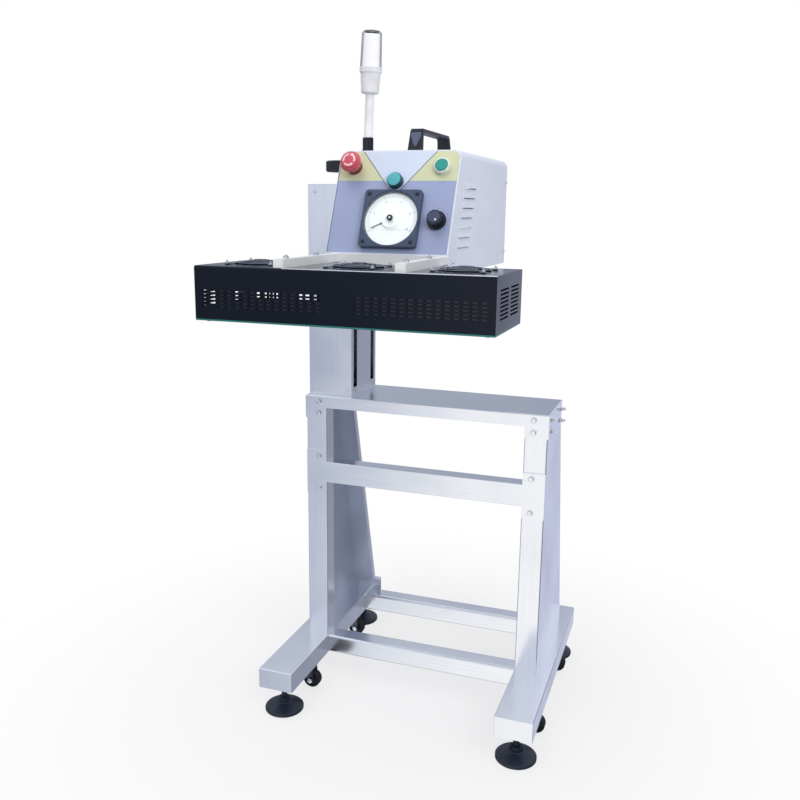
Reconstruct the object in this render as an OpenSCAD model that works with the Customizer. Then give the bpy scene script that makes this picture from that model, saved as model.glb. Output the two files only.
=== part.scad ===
// Induction cap sealer: a stand on levelling feet and castors, a column with a screw lift,
// a control box with a sloped panel, and a fan-cooled sealing head carried on two arms.
// +Z is up, the floor is Z = 0, +X is the operator's right and the operator stands at -Y.

/* [Stand] */
// Width over the two side frames
stand_w = 510; // [440:5:620]
// Width of the front face of each post
post_w = 45; // [35:1:60]
// Depth of the lip folded back along the inner edge of each post
post_lip = 35; // [20:1:50]
// Depth of the lip folded forward along the inner edge of each rear flange
rear_lip = 15; // [8:1:25]
// Front faces of the posts, measured back from the origin
post_y = 15; // [0:1:40]
// Sheet thickness of the stand and the column
sheet_t = 2; // [1:0.5:3]
// Top of the shelf above the floor
shelf_z = 647; // [560:1:760]
// Depth of the side frames at the top
frame_top_d = 148; // [130:1:170]
// Depth of the side frames at the foot
frame_foot_d = 298; // [240:1:315]

/* [Shelf and rails] */
// Depth of the shelf
shelf_d = 157; // [150:1:180]
// Height of the shelf's folded front and rear edges
shelf_edge = 25; // [15:1:35]
// Height of the shelf's ears on the posts
shelf_ear = 48; // [40:1:70]
// Height of the mid rail's face
rail_h = 46; // [30:1:60]
// Top of the mid rail's face above the floor
rail_z = 505; // [400:1:540]
// Depth of the mid rail's flanges
rail_d = 30; // [20:1:45]
// How far the mid rail's ears stand above and below its face
rail_ear = 24; // [15:1:35]
// Outer size of the square cross tubes
tube_size = 40; // [30:1:42]
// Corner radius of the square cross tubes
tube_round = 5; // [3:0.5:8]
// Front face of the rear cross tube in front of the side frames' rear foot
rear_tube_set = 72; // [60:1:100]
// Size of the upright tabs on the rear cross tube
tab_size = 28; // [20:1:35]

/* [Foot beams] */
// Width of a foot beam
foot_w = 74; // [60:1:90]
// Height of a foot beam
foot_h = 42; // [40:1:55]
// Top of the foot beams above the floor
foot_z = 105; // [100:1:118]
// Reach of the foot beams in front of the posts' front faces
foot_front = 182; // [150:1:230]
// Reach of the foot beams behind the posts' front faces
foot_rear = 335; // [325:1:380]
// Width of the lip folded in along the open underside
foot_lip = 12; // [6:1:16]
// Thickness of the plates that hold the castors and levelling feet
carrier_t = 4; // [3:0.5:8]

/* [Levelling feet and castors] */
// Diameter of a foot pad
pad_d = 80; // [60:1:80]
// Centre of a foot pad from the end of its beam
pad_inset = 40; // [40:1:48]
// Height of the domed pad
pad_h = 20; // [14:1:26]
// Diameter of the foot stud
stud_d = 12; // [8:1:16]
// Castor pivots in front of the posts' front faces
castor_front = 45; // [20:1:60]
// Castor pivots behind the posts' front faces
castor_rear = 213; // [180:1:216]
// Castor wheel diameter
wheel_d = 38; // [30:1:42]
// Castor wheel width
wheel_w = 18; // [12:1:22]
// Offset from the castor pivot to the wheel axle
castor_trail = 20; // [14:1:22]
// Height of the castor wheels above the floor while the pads carry the stand
wheel_gap = 3; // [2:0.5:8]

/* [Column and lift] */
// Column width
column_w = 96; // [84:1:120]
// Column depth
column_d = 138; // [130:1:145]
// Column centre to the left of the stand's centre plane
column_x = 208.5; // [195:0.5:212]
// Column front behind the posts' front faces
column_y = 18; // [10:1:24]
// Column top above the floor
column_top = 1078; // [1070:1:1090]
// Width of the two slots in the column's right wall
slot_w = 19.5; // [12:0.5:20]
// Distance between the two slots
slot_pitch = 97; // [88:1:98]
// Diameter of the guide rods
rod_d = 16; // [12:1:18]
// Distance between the guide rods
rod_pitch = 80; // [70:1:84]
// Diameter of the lead screw
screw_d = 16; // [12:1:20]
// Handwheel diameter
handwheel_d = 70; // [50:1:90]
// Handwheel thickness
handwheel_h = 22; // [16:1:30]
// Height of the handwheel above the column's cap
handwheel_gap = 26; // [10:1:40]
// Height of the lift carriage
carriage_h = 70; // [50:1:80]
// Top of the lift carriage below the column's top
carriage_drop = 48; // [46:1:70]

/* [Control box] */
// Width of the control box
box_w = 237; // [220:1:260]
// Gap between the column and the control box
box_gap = 6; // [5:0.5:14]
// Underside of the control box above the floor
box_z = 915; // [905:1:925]
// Top of the control box above the floor
box_top = 1137; // [1120:1:1160]
// Rear of the control box behind the posts' front faces
box_rear = 331; // [290:1:332]
// Front wall of the control box in front of the posts' front faces
box_front = 124; // [100:1:140]
// Height of the upright wall below the sloped panel
box_step = 35; // [32:1:45]
// Angle of the panel from the floor
panel_angle = 67; // [60:1:80]
// Sheet thickness of the control box
box_t = 1.5; // [1:0.1:2]
// Bend radius along the cover's top edges
box_round = 15; // [6:1:20]
// Number of louvres on the cover's side
louvre_n = 7; // [3:1:8]
// Length of a louvre
louvre_l = 78; // [40:1:100]
// Height of a louvre
louvre_h = 13; // [8:1:14]
// Distance from one louvre to the next
louvre_pitch = 18; // [16:0.5:20]

/* [Panel] */
// Thickness of the printed overlay
overlay_t = 0.6; // [0.3:0.1:1]
// Side of the square meter
meter_size = 110; // [96:1:112]
// Centre of the meter to the right of the panel's centre line
meter_u = 3; // [-6:1:6]
// Centre of the meter up the panel
meter_s = 65; // [60:1:66]
// Diameter of the dial
dial_d = 102; // [80:1:103]
// Centre of the indicator lamp up the panel
lamp_s = 140; // [136:1:146]
// Centres of the two outer buttons up the panel
button_s = 169; // [160:1:176]
// Sideways distance of the outer buttons from the panel's centre line
button_u = 86; // [70:1:92]
// Diameter of the buttons' bezels
bezel_d = 30; // [28:1:34]
// Diameter of the emergency stop's mushroom head
stop_d = 40; // [32:1:44]
// Travel of the emergency stop
stop_travel = 5; // [3:0.5:6]
// Travel of the start button
start_travel = 3; // [2:0.5:4]
// Sideways place of the power knob from the panel's centre line
knob_u = 89; // [85:1:95]
// Centre of the power knob up the panel
knob_s = 65; // [40:1:80]
// Diameter of the power knob
knob_d = 36; // [24:1:38]

/* [Handle and beacon] */
// Length of the carry handle
handle_l = 208; // [140:1:220]
// Width of the carry handle at its feet
handle_w = 30; // [20:1:40]
// Height of the carry handle
handle_h = 45; // [35:1:60]
// Centre of the carry handle to the right of the box's centre
handle_u = 7.5; // [-10:0.5:20]
// Front end of the carry handle behind the posts' front faces
handle_y = 12; // [0:1:60]
// Pole of the beacon to the left of the box's centre
beacon_u = 87; // [60:1:90]
// Pole of the beacon behind the posts' front faces
beacon_y = 10; // [-10:1:120]
// Lean of the beacon's pole to the right, in degrees
beacon_lean = 2; // [0:0.5:4]
// Diameter of the beacon's pole
pole_d = 16.5; // [12:0.5:20]
// Length of the pole above its mount
pole_l = 81; // [50:1:200]
// Diameter of the beacon's lens
lens_d = 41; // [34:1:60]
// Height of the beacon's lens
lens_h = 65; // [60:1:100]

/* [Sealing head] */
// Width of the sealing head
head_w = 514; // [480:1:540]
// Depth of the sealing head
head_d = 182; // [160:1:200]
// Height of the sealing head with its bottom plate
head_h = 91; // [80:1:110]
// Top of the sealing head above the control box's underside
head_rise = 20; // [16:1:26]
// Centre of the sealing head to the left of the stand's centre plane
head_x = 28; // [0:1:40]
// Front of the sealing head in front of the posts' front faces
head_front = 365; // [350:1:380]
// Sheet thickness of the head's housing
head_t = 2; // [1.5:0.5:2.5]
// Bend radius along the housing's long top edges
head_round = 4; // [3:0.5:6]
// Thickness of the green bottom plate
plate_t = 3; // [2:0.5:8]
// Width of each arm of the bracket
arm_w = 17; // [13:1:20]
// Height of each arm of the bracket
arm_h = 14; // [10:1:22]
// Distance between the arms' centre lines
arm_pitch = 208; // [190:1:212]
// Front end of the arms behind the head's front
arm_set = 4; // [4:1:30]
// Size of the square fan frames
fan_size = 92; // [80:1:94]
// Thickness of the fan frames
fan_h = 25; // [20:1:32]
// Distance between the fans
fan_pitch = 182; // [178:1:186]
// Height of a fan guard's middle above the head's top
guard_rise = 7; // [4:0.5:8]
// Number of vent columns in each front group
vent_cols = 15; // [6:1:15]
// Number of vent rows in the front groups
vent_rows = 5; // [2:1:6]
// Number of vent rows in the end walls
side_vent_rows = 8; // [4:1:8]

/* [Hidden] */
$fn = 48;

// Colours
stainless = [0.80, 0.80, 0.85];
dark_metal = [0.35, 0.36, 0.40];
black = [0.08, 0.08, 0.09];

// Clearances: a running fit, a shoulder on its seat, a bolt hole, and an overshoot for cuts right through
run_gap = 0.05;
seat_gap = 0.3;
hole_gap = 0.2;
cut = 1;

// Outer radius of a fold in the stand's sheet
bend_r = sheet_t;

// Stand
half_w = stand_w / 2;
inner_x = half_w - post_w;
frame_top_z = shelf_z - sheet_t;
frame_slope = (frame_foot_d - frame_top_d) / (frame_top_z - foot_z);
rear_wall_t = sheet_t * sqrt(1 + frame_slope * frame_slope);
foot_x = inner_x + foot_w / 2;
foot_bottom = foot_z - foot_h;
foot_y0 = post_y - foot_front;
foot_y1 = post_y + foot_rear;
rail_bottom = rail_z - rail_h;
rear_tube_y = post_y + frame_foot_d - rear_tube_set;

// Bolts of the shelf and the mid rail
bolt_d = 6;
bolt_head_d = 11;
bolt_head_h = 4;
bolt_l = 9;
side_stud = 10;
bolt_x = inner_x + post_w * 0.38;
bolt_edge = 12;
shelf_bolt_z = [shelf_z - bolt_edge, shelf_z - shelf_ear + bolt_edge];
rail_bolt_z = [rail_z + rail_ear - bolt_edge, rail_bottom - rail_ear + bolt_edge];
side_bolt_y = [post_y + 2 * bolt_edge, post_y + frame_top_d - 2 * bolt_edge];

// Levelling feet and castors
pad_y = [foot_y0 + pad_inset, foot_y1 - pad_inset];
castor_y = [post_y - castor_front, post_y + castor_rear];
carrier_z = foot_bottom + sheet_t;
carrier_l = 50;
pad_edge = 2;
pad_rim_h = 7;
foot_hex_d = 24;
foot_hex_h = 8;
stud_room = 14;
stud_top = foot_z - sheet_t - stud_room;
king_d = 10;
king_head_d = 16;
king_head_h = 2.7;
axle_d = 6;
axle_end = 2;
axle_z = wheel_gap + wheel_d / 2;
wheel_side_gap = 1;
wheel_hub_r = axle_d / 2 + 4;
web_recess = 4;
web_draft = 1;
tread_t = 5;
tread_edge = 2;
leg_t = 2.5;
leg_r = axle_d / 2 + 3.5;
fork_y = wheel_w / 2 + wheel_side_gap;
crown_gap = 4;
crown_z = axle_z + wheel_d / 2 + crown_gap;
crown_t = 4;
crown_reach = 8;
race_d = 34;
leg_back = 13.6;

// Column and lift
col_x = -column_x;
col_x0 = col_x - column_w / 2;
col_x1 = col_x + column_w / 2;
col_y0 = post_y + column_y;
col_y1 = col_y0 + column_d;
col_y = (col_y0 + col_y1) / 2;
cap_z = column_top - sheet_t;
cap_boss_h = 14;
cap_boss_gap = 9;
base_block_h = 20;
seat_depth = 12;
slot_foot = 17;
slot_head = 6;
slot_z0 = shelf_z + slot_foot;
slot_z1 = cap_z - slot_head;
cover_flange = 12;
carriage_z1 = column_top - carriage_drop;
carriage_z0 = carriage_z1 - carriage_h;
carriage_wall_gap = 8;
carriage_front_gap = 6;
slot_side_gap = 2;
slot_face_gap = 2;
arm_inset = 5;
journal_d = screw_d - 6;
handwheel_hub_r = screw_d / 2 + 6;
handwheel_rim = 10;
handwheel_recess = 4.5;
handwheel_edge = 2.5;
handwheel_draft = 1.5;
handwheel_cap = 3;
scallop_d = 14;
scallop_out = 6;
scallop_n = 8;

// Control box
box_x0 = col_x1 + box_gap;
box_x1 = box_x0 + box_w;
box_x = (box_x0 + box_x1) / 2;
box_y0 = post_y - box_front;
box_y1 = post_y + box_rear;
panel_z = box_z + box_step;
panel_l = (box_top - panel_z) / sin(panel_angle);
panel_run = (box_top - panel_z) / tan(panel_angle);
panel_shift = box_t / sin(panel_angle);
louvre_out = 4;
louvre_wall = 1.2;
louvre_face = 5;
louvre_back = 94;
louvre_rise = 12;
louvre_z0 = panel_z + louvre_rise;
rear_vent_w = 118;
rear_vent_h = 4;
rear_vent_rise = 20;
rear_vent_z0 = panel_z + rear_vent_rise;
inverter_w = 142;
inverter_l = 205;
inverter_t = 10;
fin_h = 45;
fin_t = 3;
fin_n = 9;
gland_d = 20;
gland_bore_d = 10;
gland_tip_d = 16;
gland_nut_d = 26;
gland_nut_h = 8;
gland_l = 22;
gland_in = 6;
gland_set = 45;
gland_y = box_y1 - gland_set;

// Panel
barrel_d = 22;
barrel_l = 30;
barrel_wall = 1.5;
barrel_floor = 4;
flange_h = 10;
flange_edge = 2;
pocket_wall = 3;
pocket_n = 4;
cap_rise = 1.5;
cap_edge = 1;
lamp_bezel_h = 3;
lamp_set = 0.5;
lamp_r = bezel_d / 2 - lamp_set;
lamp_h = 13;
lamp_edge = 2;
lamp_crown = 0.6;
meter_h = 12;
meter_round = 6;
meter_floor = 3;
glass_seat = 9;
glass_t = 2;
glass_lip = 2;
meter_barrel_d = dial_d - 6;
meter_barrel_l = 40;
dial_t = 0.8;
pivot_d = 4;
needle_hub_d = 12;
needle_h = 2.4;
needle_gap = 0.4;
needle_l = dial_d / 2 - 10;
needle_tail = 9;
needle_root_w = 3.2;
needle_tip_w = 0.8;
needle_rest = 205;
overlay_edge = 1.5;
overlay_round = 13;
stop_stem_d = 12;
stop_collar_h = 4;
stop_collar_base = 2;
stop_collar_taper = 3;
stop_head_h = 24.4;
stop_head_wall = 6;
stop_rim = 5;
stop_dome_r = 45;
stop_clear = 1;
stop_head_n = stop_collar_h + stop_travel + stop_clear;
stop_stem_top = stop_head_n + stop_head_h - stop_head_wall;
shaft_d = 6;
shaft_gap = 2;
shaft_l = 18;
knob_lift = 0.6;
knob_skirt_h = 4;
knob_h = 19;
grip_d = 27.4;
flute_d = 4;
flute_n = 12;

// Handle and beacon
handle_x = box_x + handle_u;
handle_y0 = post_y + handle_y;
handle_leg = 10;
handle_bar = 7;
handle_slant = 11;
handle_thin = 3;
handle_narrow = 2.5;
handle_chamfer = 5;
beacon_x = box_x - beacon_u;
beacon_py = post_y + beacon_y;
mount_h = 28;
mount_d = pole_d + 4.5;
mount_flange_d = mount_d + 6;
mount_flange_h = 4;
pole_seat = 18;
pole_wall = 1.5;
base_h = 47;
base_d = lens_d - 7;
base_edge = 2;
base_lip = 0.6;
base_step_z = 36;
base_step_h = 2;
lamp_post_d = 14;
lamp_post_h = 50;
lens_wall = 2;
lens_edge = 3;
lens_draft = 1.5;

// Sealing head
head_x0 = -head_x - head_w / 2;
head_x1 = head_x0 + head_w;
head_cx = -head_x;
head_y0 = post_y - head_front;
head_y1 = head_y0 + head_d;
head_cy = (head_y0 + head_y1) / 2;
head_z1 = box_z + head_rise;
head_z0 = head_z1 - head_h;
shell_z0 = head_z0 + plate_t;
arm_x = [head_cx - arm_pitch / 2, head_cx + arm_pitch / 2];
arm_y0 = head_y0 + arm_set;
arm_z1 = head_z1 + arm_h;
bracket_t = 3;
bracket_edge = 3;
bracket_clear = 0.5;
bracket_z0 = box_z + bracket_edge;
bracket_z1 = panel_z - bracket_clear;
arm_bolt_front = 30;
arm_bolt_rear = 30;
arm_bolt_y = [arm_y0 + arm_bolt_front, head_y1 - arm_bolt_rear];
arm_stud_up = 5.5;
arm_stud_down = 3;
fan_x = [head_cx - fan_pitch, head_cx, head_cx + fan_pitch];
fan_z1 = head_z1 - head_t;
fan_z0 = fan_z1 - fan_h;
fan_bore = fan_size - 4;
fan_hub_d = 34;
fan_round = 4;
fan_post_d = 6;
fan_post_gap = 4;
fan_tip_gap = 1.5;
fan_floor = 3;
fan_screw = fan_size * 0.447;
spider_w = 4;
rotor_gap = 0.5;
rotor_top_gap = 3;
blade_n = 7;
blade_pitch = 38;
blade_chord = 26;
blade_t = 1.6;
guard_wire = 2;
guard_rings = 4;
guard_inner_r = 9;
guard_foot = 2.5;
guard_eye_r = 4;
guard_hole_r = 2;
vent_l = 10;
vent_h = 3;
vent_pitch_x = 14.5;
vent_pitch_z = 6.3;
vent_end = 14;
vent_rise = 20;
vent_z0 = shell_z0 + vent_rise;
side_vent_l = 58;
side_vent_gap = 16;
side_vent_rise = 19;
side_vent_z0 = shell_z0 + side_vent_rise;
coil_t = 14;
coil_end_gap = 35;
coil_side_gap = 25;
coil_eye = 53;
plate_bolt_inset = 16;
plate_bolt_d = 8;
plate_bolt_h = 3;

// A block from its lowest to its highest corner
module block(lo, hi) {
  translate(lo) cube(hi - lo);
}

// Mirrors a right-hand piece to the left side
module on_side(side) {
  mirror([side < 0 ? 1 : 0, 0, 0]) children();
}

// A flat shape in Y and Z, extruded along X from x0 to x1
module along_x(x0, x1) {
  translate([x0, 0, 0]) rotate([90, 0, 90]) linear_extrude(x1 - x0) children();
}

// A flat shape in X and Z, extruded along Y from y0 to y1
module along_y(y0, y1) {
  translate([0, y1, 0]) rotate([90, 0, 0]) linear_extrude(y1 - y0) children();
}

// Places a piece on the sloped panel: u sideways, s up the slope, local Z out of the panel
module on_panel(u, s, n = 0) {
  translate([box_x + u, box_y0, panel_z])
    rotate([panel_angle, 0, 0])
      translate([0, s, n]) children();
}

// A row of points turned over the X axis, in the reverse order, to close a symmetric outline
function mirrored(points) = [for (i = [len(points) - 1 : -1 : 0]) [points[i][0], -points[i][1]]];

// A flat rectangle with round corners, centred
module round_rect(w, h, r) {
  square([w - 2 * r, h], center = true);
  square([w, h - 2 * r], center = true);
  for (x = [-1, 1])
    for (y = [-1, 1])
      translate([x * (w / 2 - r), y * (h / 2 - r)]) circle(r);
}

// A flat rectangle from its lowest to its highest corner, with its two upper corners round
module arch(x0, x1, y0, y1, r) {
  translate([x0, y0]) square([x1 - x0, y1 - r - y0]);
  translate([x0 + r, y0]) square([x1 - x0 - 2 * r, y1 - y0]);
  for (x = [x0 + r, x1 - r]) translate([x, y1 - r]) circle(r);
}

// Outline of a side frame in Y and Z, drawn in from each edge
function rear_y(z) = post_y + frame_foot_d - (z - foot_z) * frame_slope;
function frame_outline(front, rear, bottom, top) = [
  [post_y + front, foot_z + bottom],
  [rear_y(foot_z + bottom) - rear, foot_z + bottom],
  [rear_y(frame_top_z - top) - rear, frame_top_z - top],
  [post_y + front, frame_top_z - top]];

// Shelf and rail bolts on one side of the stand: on the post's face, or on the outer web
module at_front_bolts() {
  for (z = concat(shelf_bolt_z, rail_bolt_z))
    translate([bolt_x, post_y - sheet_t, z]) rotate([90, 0, 0]) children();
}
module at_side_bolts() {
  for (y = side_bolt_y)
    for (z = shelf_bolt_z)
      translate([half_w + sheet_t, y, z]) rotate([0, 90, 0]) children();
}
module bolt_hole() {
  translate([0, 0, -bolt_l - cut]) cylinder(d = bolt_d + 2 * hole_gap, h = bolt_l + 2 * cut);
}
module bolt(stud_end = 0) {
  cylinder(d = bolt_head_d, h = bolt_head_h, $fn = 6);
  translate([0, 0, -bolt_l]) cylinder(d = bolt_d, h = bolt_l + bolt_head_h / 2 + stud_end);
}

// Folded side frame: a tapering web with flanges and lips, open towards the stand's middle
module side_frame(side) {
  color(stainless) on_side(side) difference() {
    intersection() {
      along_x(inner_x, half_w) polygon(frame_outline(0, 0, 0, 0));
      translate([0, 0, foot_z - cut]) linear_extrude(shelf_z - foot_z) mirror([0, 1])
        arch(inner_x, half_w, -post_y - frame_foot_d - cut, -post_y, bend_r);
    }
    along_x(inner_x + sheet_t, half_w - sheet_t)
      polygon(frame_outline(sheet_t, rear_wall_t, sheet_t, sheet_t));
    along_x(inner_x - cut, inner_x + sheet_t + cut)
      polygon(frame_outline(post_lip, rear_lip, sheet_t, sheet_t));
    at_front_bolts() bolt_hole();
    at_side_bolts() bolt_hole();
  }
}
module left_side_frame() { side_frame(-1); }
module right_side_frame() { side_frame(1); }

// Folded foot beam, open below, with carrier plates for two castors and two levelling feet
module foot_beam(side) {
  color(stainless) on_side(side) {
    difference() {
      intersection() {
        along_y(foot_y0, foot_y1) arch(inner_x, inner_x + foot_w, foot_bottom, foot_z, bend_r);
        along_x(inner_x, inner_x + foot_w) arch(foot_y0, foot_y1, foot_bottom, foot_z, bend_r);
      }
      block([inner_x + sheet_t, foot_y0 + sheet_t, carrier_z],
            [inner_x + foot_w - sheet_t, foot_y1 - sheet_t, foot_z - sheet_t]);
      block([inner_x + foot_lip, foot_y0 + foot_lip, foot_bottom - cut],
            [inner_x + foot_w - foot_lip, foot_y1 - foot_lip, carrier_z + cut]);
    }
    for (y = pad_y) carrier(y, stud_d);
    for (y = castor_y) carrier(y, king_d);
  }
}
module carrier(y, d) {
  difference() {
    block([inner_x + sheet_t, y - carrier_l / 2, carrier_z],
          [inner_x + foot_w - sheet_t, y + carrier_l / 2, carrier_z + carrier_t]);
    translate([foot_x, y, carrier_z - cut])
      cylinder(d = d + 2 * run_gap, h = carrier_t + 2 * cut);
  }
}
module left_foot_beam() { foot_beam(-1); }
module right_foot_beam() { foot_beam(1); }

// Square tube between the foot beams
module cross_tube(y) {
  bore = tube_size - 2 * sheet_t;
  along_x(-inner_x, inner_x) translate([y + tube_size / 2, foot_z - tube_size / 2]) difference() {
    round_rect(tube_size, tube_size, tube_round);
    round_rect(bore, bore, tube_round - sheet_t);
  }
}
module front_cross_tube() {
  color(stainless) cross_tube(post_y);
}
module rear_cross_tube() {
  tab_y = rear_tube_y + tube_size - tube_round;
  color(stainless) {
    cross_tube(rear_tube_y);
    for (side = [-1, 1]) on_side(side) difference() {
      block([inner_x - tab_size, tab_y - sheet_t, foot_z], [inner_x, tab_y, foot_z + tab_size]);
      translate([inner_x - tab_size / 2, tab_y + cut, foot_z + tab_size / 2])
        rotate([90, 0, 0]) cylinder(d = bolt_d, h = sheet_t + 2 * cut);
    }
  }
}

// Folded shelf with ears over the fronts and outer sides of the posts
module shelf() {
  x1 = half_w + sheet_t;
  y0 = post_y - sheet_t;
  y1 = post_y + shelf_d;
  ear_z = shelf_z - shelf_ear;
  color(stainless) difference() {
    intersection() {
      shelf_blank(x1, y0, y1, ear_z);
      along_x(-x1, x1) arch(y0, y1, ear_z, shelf_z, bend_r);
      along_y(y0, y1) arch(-x1, x1, ear_z, shelf_z, bend_r);
    }
    for (side = [-1, 1]) on_side(side) {
      at_front_bolts() bolt_hole();
      at_side_bolts() bolt_hole();
    }
  }
}
module shelf_blank(x1, y0, y1, ear_z) {
  edge_z = shelf_z - shelf_edge;
  block([-x1, y0, frame_top_z], [x1, y1, shelf_z]);
  block([-x1, y0, edge_z], [x1, post_y, shelf_z]);
  block([-inner_x, y1 - sheet_t, edge_z], [inner_x, y1, shelf_z]);
  for (side = [-1, 1]) on_side(side) {
    block([inner_x, y0, ear_z], [x1, post_y, shelf_z]);
    block([half_w, y0, ear_z], [x1, post_y + frame_top_d, shelf_z]);
  }
}

// Folded rail with taller ears on the fronts of the posts
module mid_rail() {
  y0 = post_y - sheet_t;
  color(stainless) difference() {
    union() {
      along_x(-inner_x, inner_x) difference() {
        rotate(90) arch(rail_bottom, rail_z, -post_y - rail_d, -y0, bend_r);
        translate([post_y, rail_bottom + sheet_t]) square([rail_d + cut, rail_h - 2 * sheet_t]);
      }
      for (side = [-1, 1]) on_side(side)
        block([inner_x, y0, rail_bottom - rail_ear], [half_w, post_y, rail_z + rail_ear]);
    }
    for (side = [-1, 1]) on_side(side) at_front_bolts() bolt_hole();
  }
}

module stand_bolts() {
  color(dark_metal) for (side = [-1, 1]) on_side(side) {
    at_front_bolts() bolt();
    at_side_bolts() bolt(side_stud);
  }
}

// Levelling foot: domed pad, hexagon and stud
module levelling_foot(side, y) {
  r = pad_d / 2;
  neck_r = foot_hex_d / 2 + pad_edge;
  color(black) translate([side * foot_x, y, 0]) {
    rotate_extrude() polygon([
      [0, 0], [r - pad_edge, 0], [r, pad_edge], [r, pad_rim_h], [r - pad_edge, pad_rim_h + pad_edge],
      [neck_r + pad_edge, pad_h - pad_edge], [neck_r, pad_h], [0, pad_h]]);
    translate([0, 0, pad_h]) cylinder(d = foot_hex_d, h = foot_hex_h, $fn = 6);
    translate([0, 0, pad_h]) cylinder(d = stud_d, h = stud_top - pad_h);
  }
}
module levelling_foot_front_left() { levelling_foot(-1, pad_y[0]); }
module levelling_foot_front_right() { levelling_foot(1, pad_y[0]); }
module levelling_foot_rear_left() { levelling_foot(-1, pad_y[1]); }
module levelling_foot_rear_right() { levelling_foot(1, pad_y[1]); }

// Castor fork: riveted king pin, swivel race, crown, two tapering legs and the axle
module castor_fork(side, y) {
  crown_top = crown_z + crown_t;
  race_h = carrier_z - seat_gap - crown_top;
  head_z = carrier_z + carrier_t + seat_gap;
  front_x = race_d / 2 + crown_reach;
  axle_y = fork_y + leg_t + axle_end;
  color(dark_metal) translate([side * foot_x, y, 0]) {
    translate([0, 0, crown_z]) cylinder(d = king_d, h = head_z + king_head_h - crown_z);
    translate([0, 0, head_z]) cylinder(d = king_head_d, h = king_head_h);
    translate([0, 0, crown_top]) cylinder(d = race_d, h = race_h);
    block([-race_d / 2, -fork_y - leg_t, crown_z], [front_x, fork_y + leg_t, crown_top]);
    for (y0 = [-fork_y - leg_t, fork_y]) along_y(y0, y0 + leg_t) {
      polygon([
        [-leg_back, crown_top], [front_x, crown_top],
        [castor_trail + leg_r, axle_z], [castor_trail - leg_r, axle_z]]);
      translate([castor_trail, axle_z]) circle(leg_r);
    }
    translate([castor_trail, axle_y, axle_z]) rotate([90, 0, 0]) cylinder(d = axle_d, h = 2 * axle_y);
  }
}
module castor_fork_front_left() { castor_fork(-1, castor_y[0]); }
module castor_fork_front_right() { castor_fork(1, castor_y[0]); }
module castor_fork_rear_left() { castor_fork(-1, castor_y[1]); }
module castor_fork_rear_right() { castor_fork(1, castor_y[1]); }

// Castor wheel: hub, recessed web and rounded tread
module castor_wheel(side, y) {
  r = wheel_d / 2;
  w = wheel_w / 2;
  half = [
    [axle_d / 2 + run_gap, w], [wheel_hub_r, w], [wheel_hub_r + web_draft, w - web_recess],
    [r - tread_t, w - web_recess], [r - tread_t + web_draft, w], [r - tread_edge, w], [r, w - tread_edge]];
  color(black) translate([side * foot_x + castor_trail, y, axle_z]) rotate([90, 0, 0])
    rotate_extrude() polygon(concat(half, mirrored(half)));
}
module castor_wheel_front_left() { castor_wheel(-1, castor_y[0]); }
module castor_wheel_front_right() { castor_wheel(1, castor_y[0]); }
module castor_wheel_rear_left() { castor_wheel(-1, castor_y[1]); }
module castor_wheel_rear_right() { castor_wheel(1, castor_y[1]); }

// Column: folded shell with inturned front flanges and two slots for the carriage arms
module column_shell() {
  y0 = col_y0 + sheet_t;
  color(stainless) difference() {
    block([col_x0, y0, shelf_z], [col_x1, col_y1, cap_z]);
    block([col_x0 + sheet_t, y0 + sheet_t, shelf_z - cut],
          [col_x1 - sheet_t, col_y1 - sheet_t, cap_z + cut]);
    block([col_x0 + cover_flange, y0 - cut, shelf_z - cut],
          [col_x1 - cover_flange, y0 + sheet_t + cut, cap_z + cut]);
    for (side = [-1, 1]) {
      slot_y = col_y + side * slot_pitch / 2;
      block([col_x1 - sheet_t - cut, slot_y - slot_w / 2, slot_z0],
            [col_x1 + cut, slot_y + slot_w / 2, slot_z1]);
    }
  }
}
module column_cover() {
  color(stainless) block([col_x0, col_y0, shelf_z], [col_x1, col_y0 + sheet_t, cap_z]);
}

// The guide rods' places in plan
module at_rods(z) {
  for (side = [-1, 1]) translate([col_x, col_y + side * rod_pitch / 2, z]) children();
}

// Column cap: a top plate with an inner boss that holds the rods and the screw
module column_cap() {
  color(stainless) difference() {
    union() {
      block([col_x0, col_y0, cap_z], [col_x1, col_y1, column_top]);
      block([col_x0 + cap_boss_gap, col_y0 + cap_boss_gap, cap_z - cap_boss_h],
            [col_x1 - cap_boss_gap, col_y1 - cap_boss_gap, cap_z]);
    }
    at_rods(cap_z - cap_boss_h - cut) cylinder(d = rod_d, h = seat_depth + cut);
    translate([col_x, col_y, cap_z - cap_boss_h - cut])
      cylinder(d = screw_d + 2 * run_gap, h = cap_boss_h + sheet_t + 2 * cut);
  }
}
module rod_base() {
  color(dark_metal) difference() {
    block([col_x0 + cap_boss_gap, col_y0 + cap_boss_gap, shelf_z],
          [col_x1 - cap_boss_gap, col_y1 - cap_boss_gap, shelf_z + base_block_h]);
    at_rods(shelf_z + base_block_h - seat_depth) cylinder(d = rod_d, h = seat_depth + cut);
    translate([col_x, col_y, shelf_z + base_block_h - seat_depth])
      cylinder(d = journal_d + 2 * run_gap, h = seat_depth + cut);
  }
}
module guide_rods() {
  z0 = shelf_z + base_block_h - seat_depth;
  color(stainless) at_rods(z0) cylinder(d = rod_d, h = cap_z - cap_boss_h + seat_depth - z0);
}

// Lead screw: lower journal, shouldered screw and the handwheel's seat
module lead_screw() {
  shoulder_z = shelf_z + base_block_h + seat_gap;
  top_z = column_top + handwheel_gap + handwheel_h - handwheel_cap;
  color(dark_metal) translate([col_x, col_y, 0]) {
    translate([0, 0, shoulder_z - seat_depth]) cylinder(d = journal_d, h = seat_depth);
    translate([0, 0, shoulder_z]) cylinder(d = screw_d, h = top_z - shoulder_z);
  }
}

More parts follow.
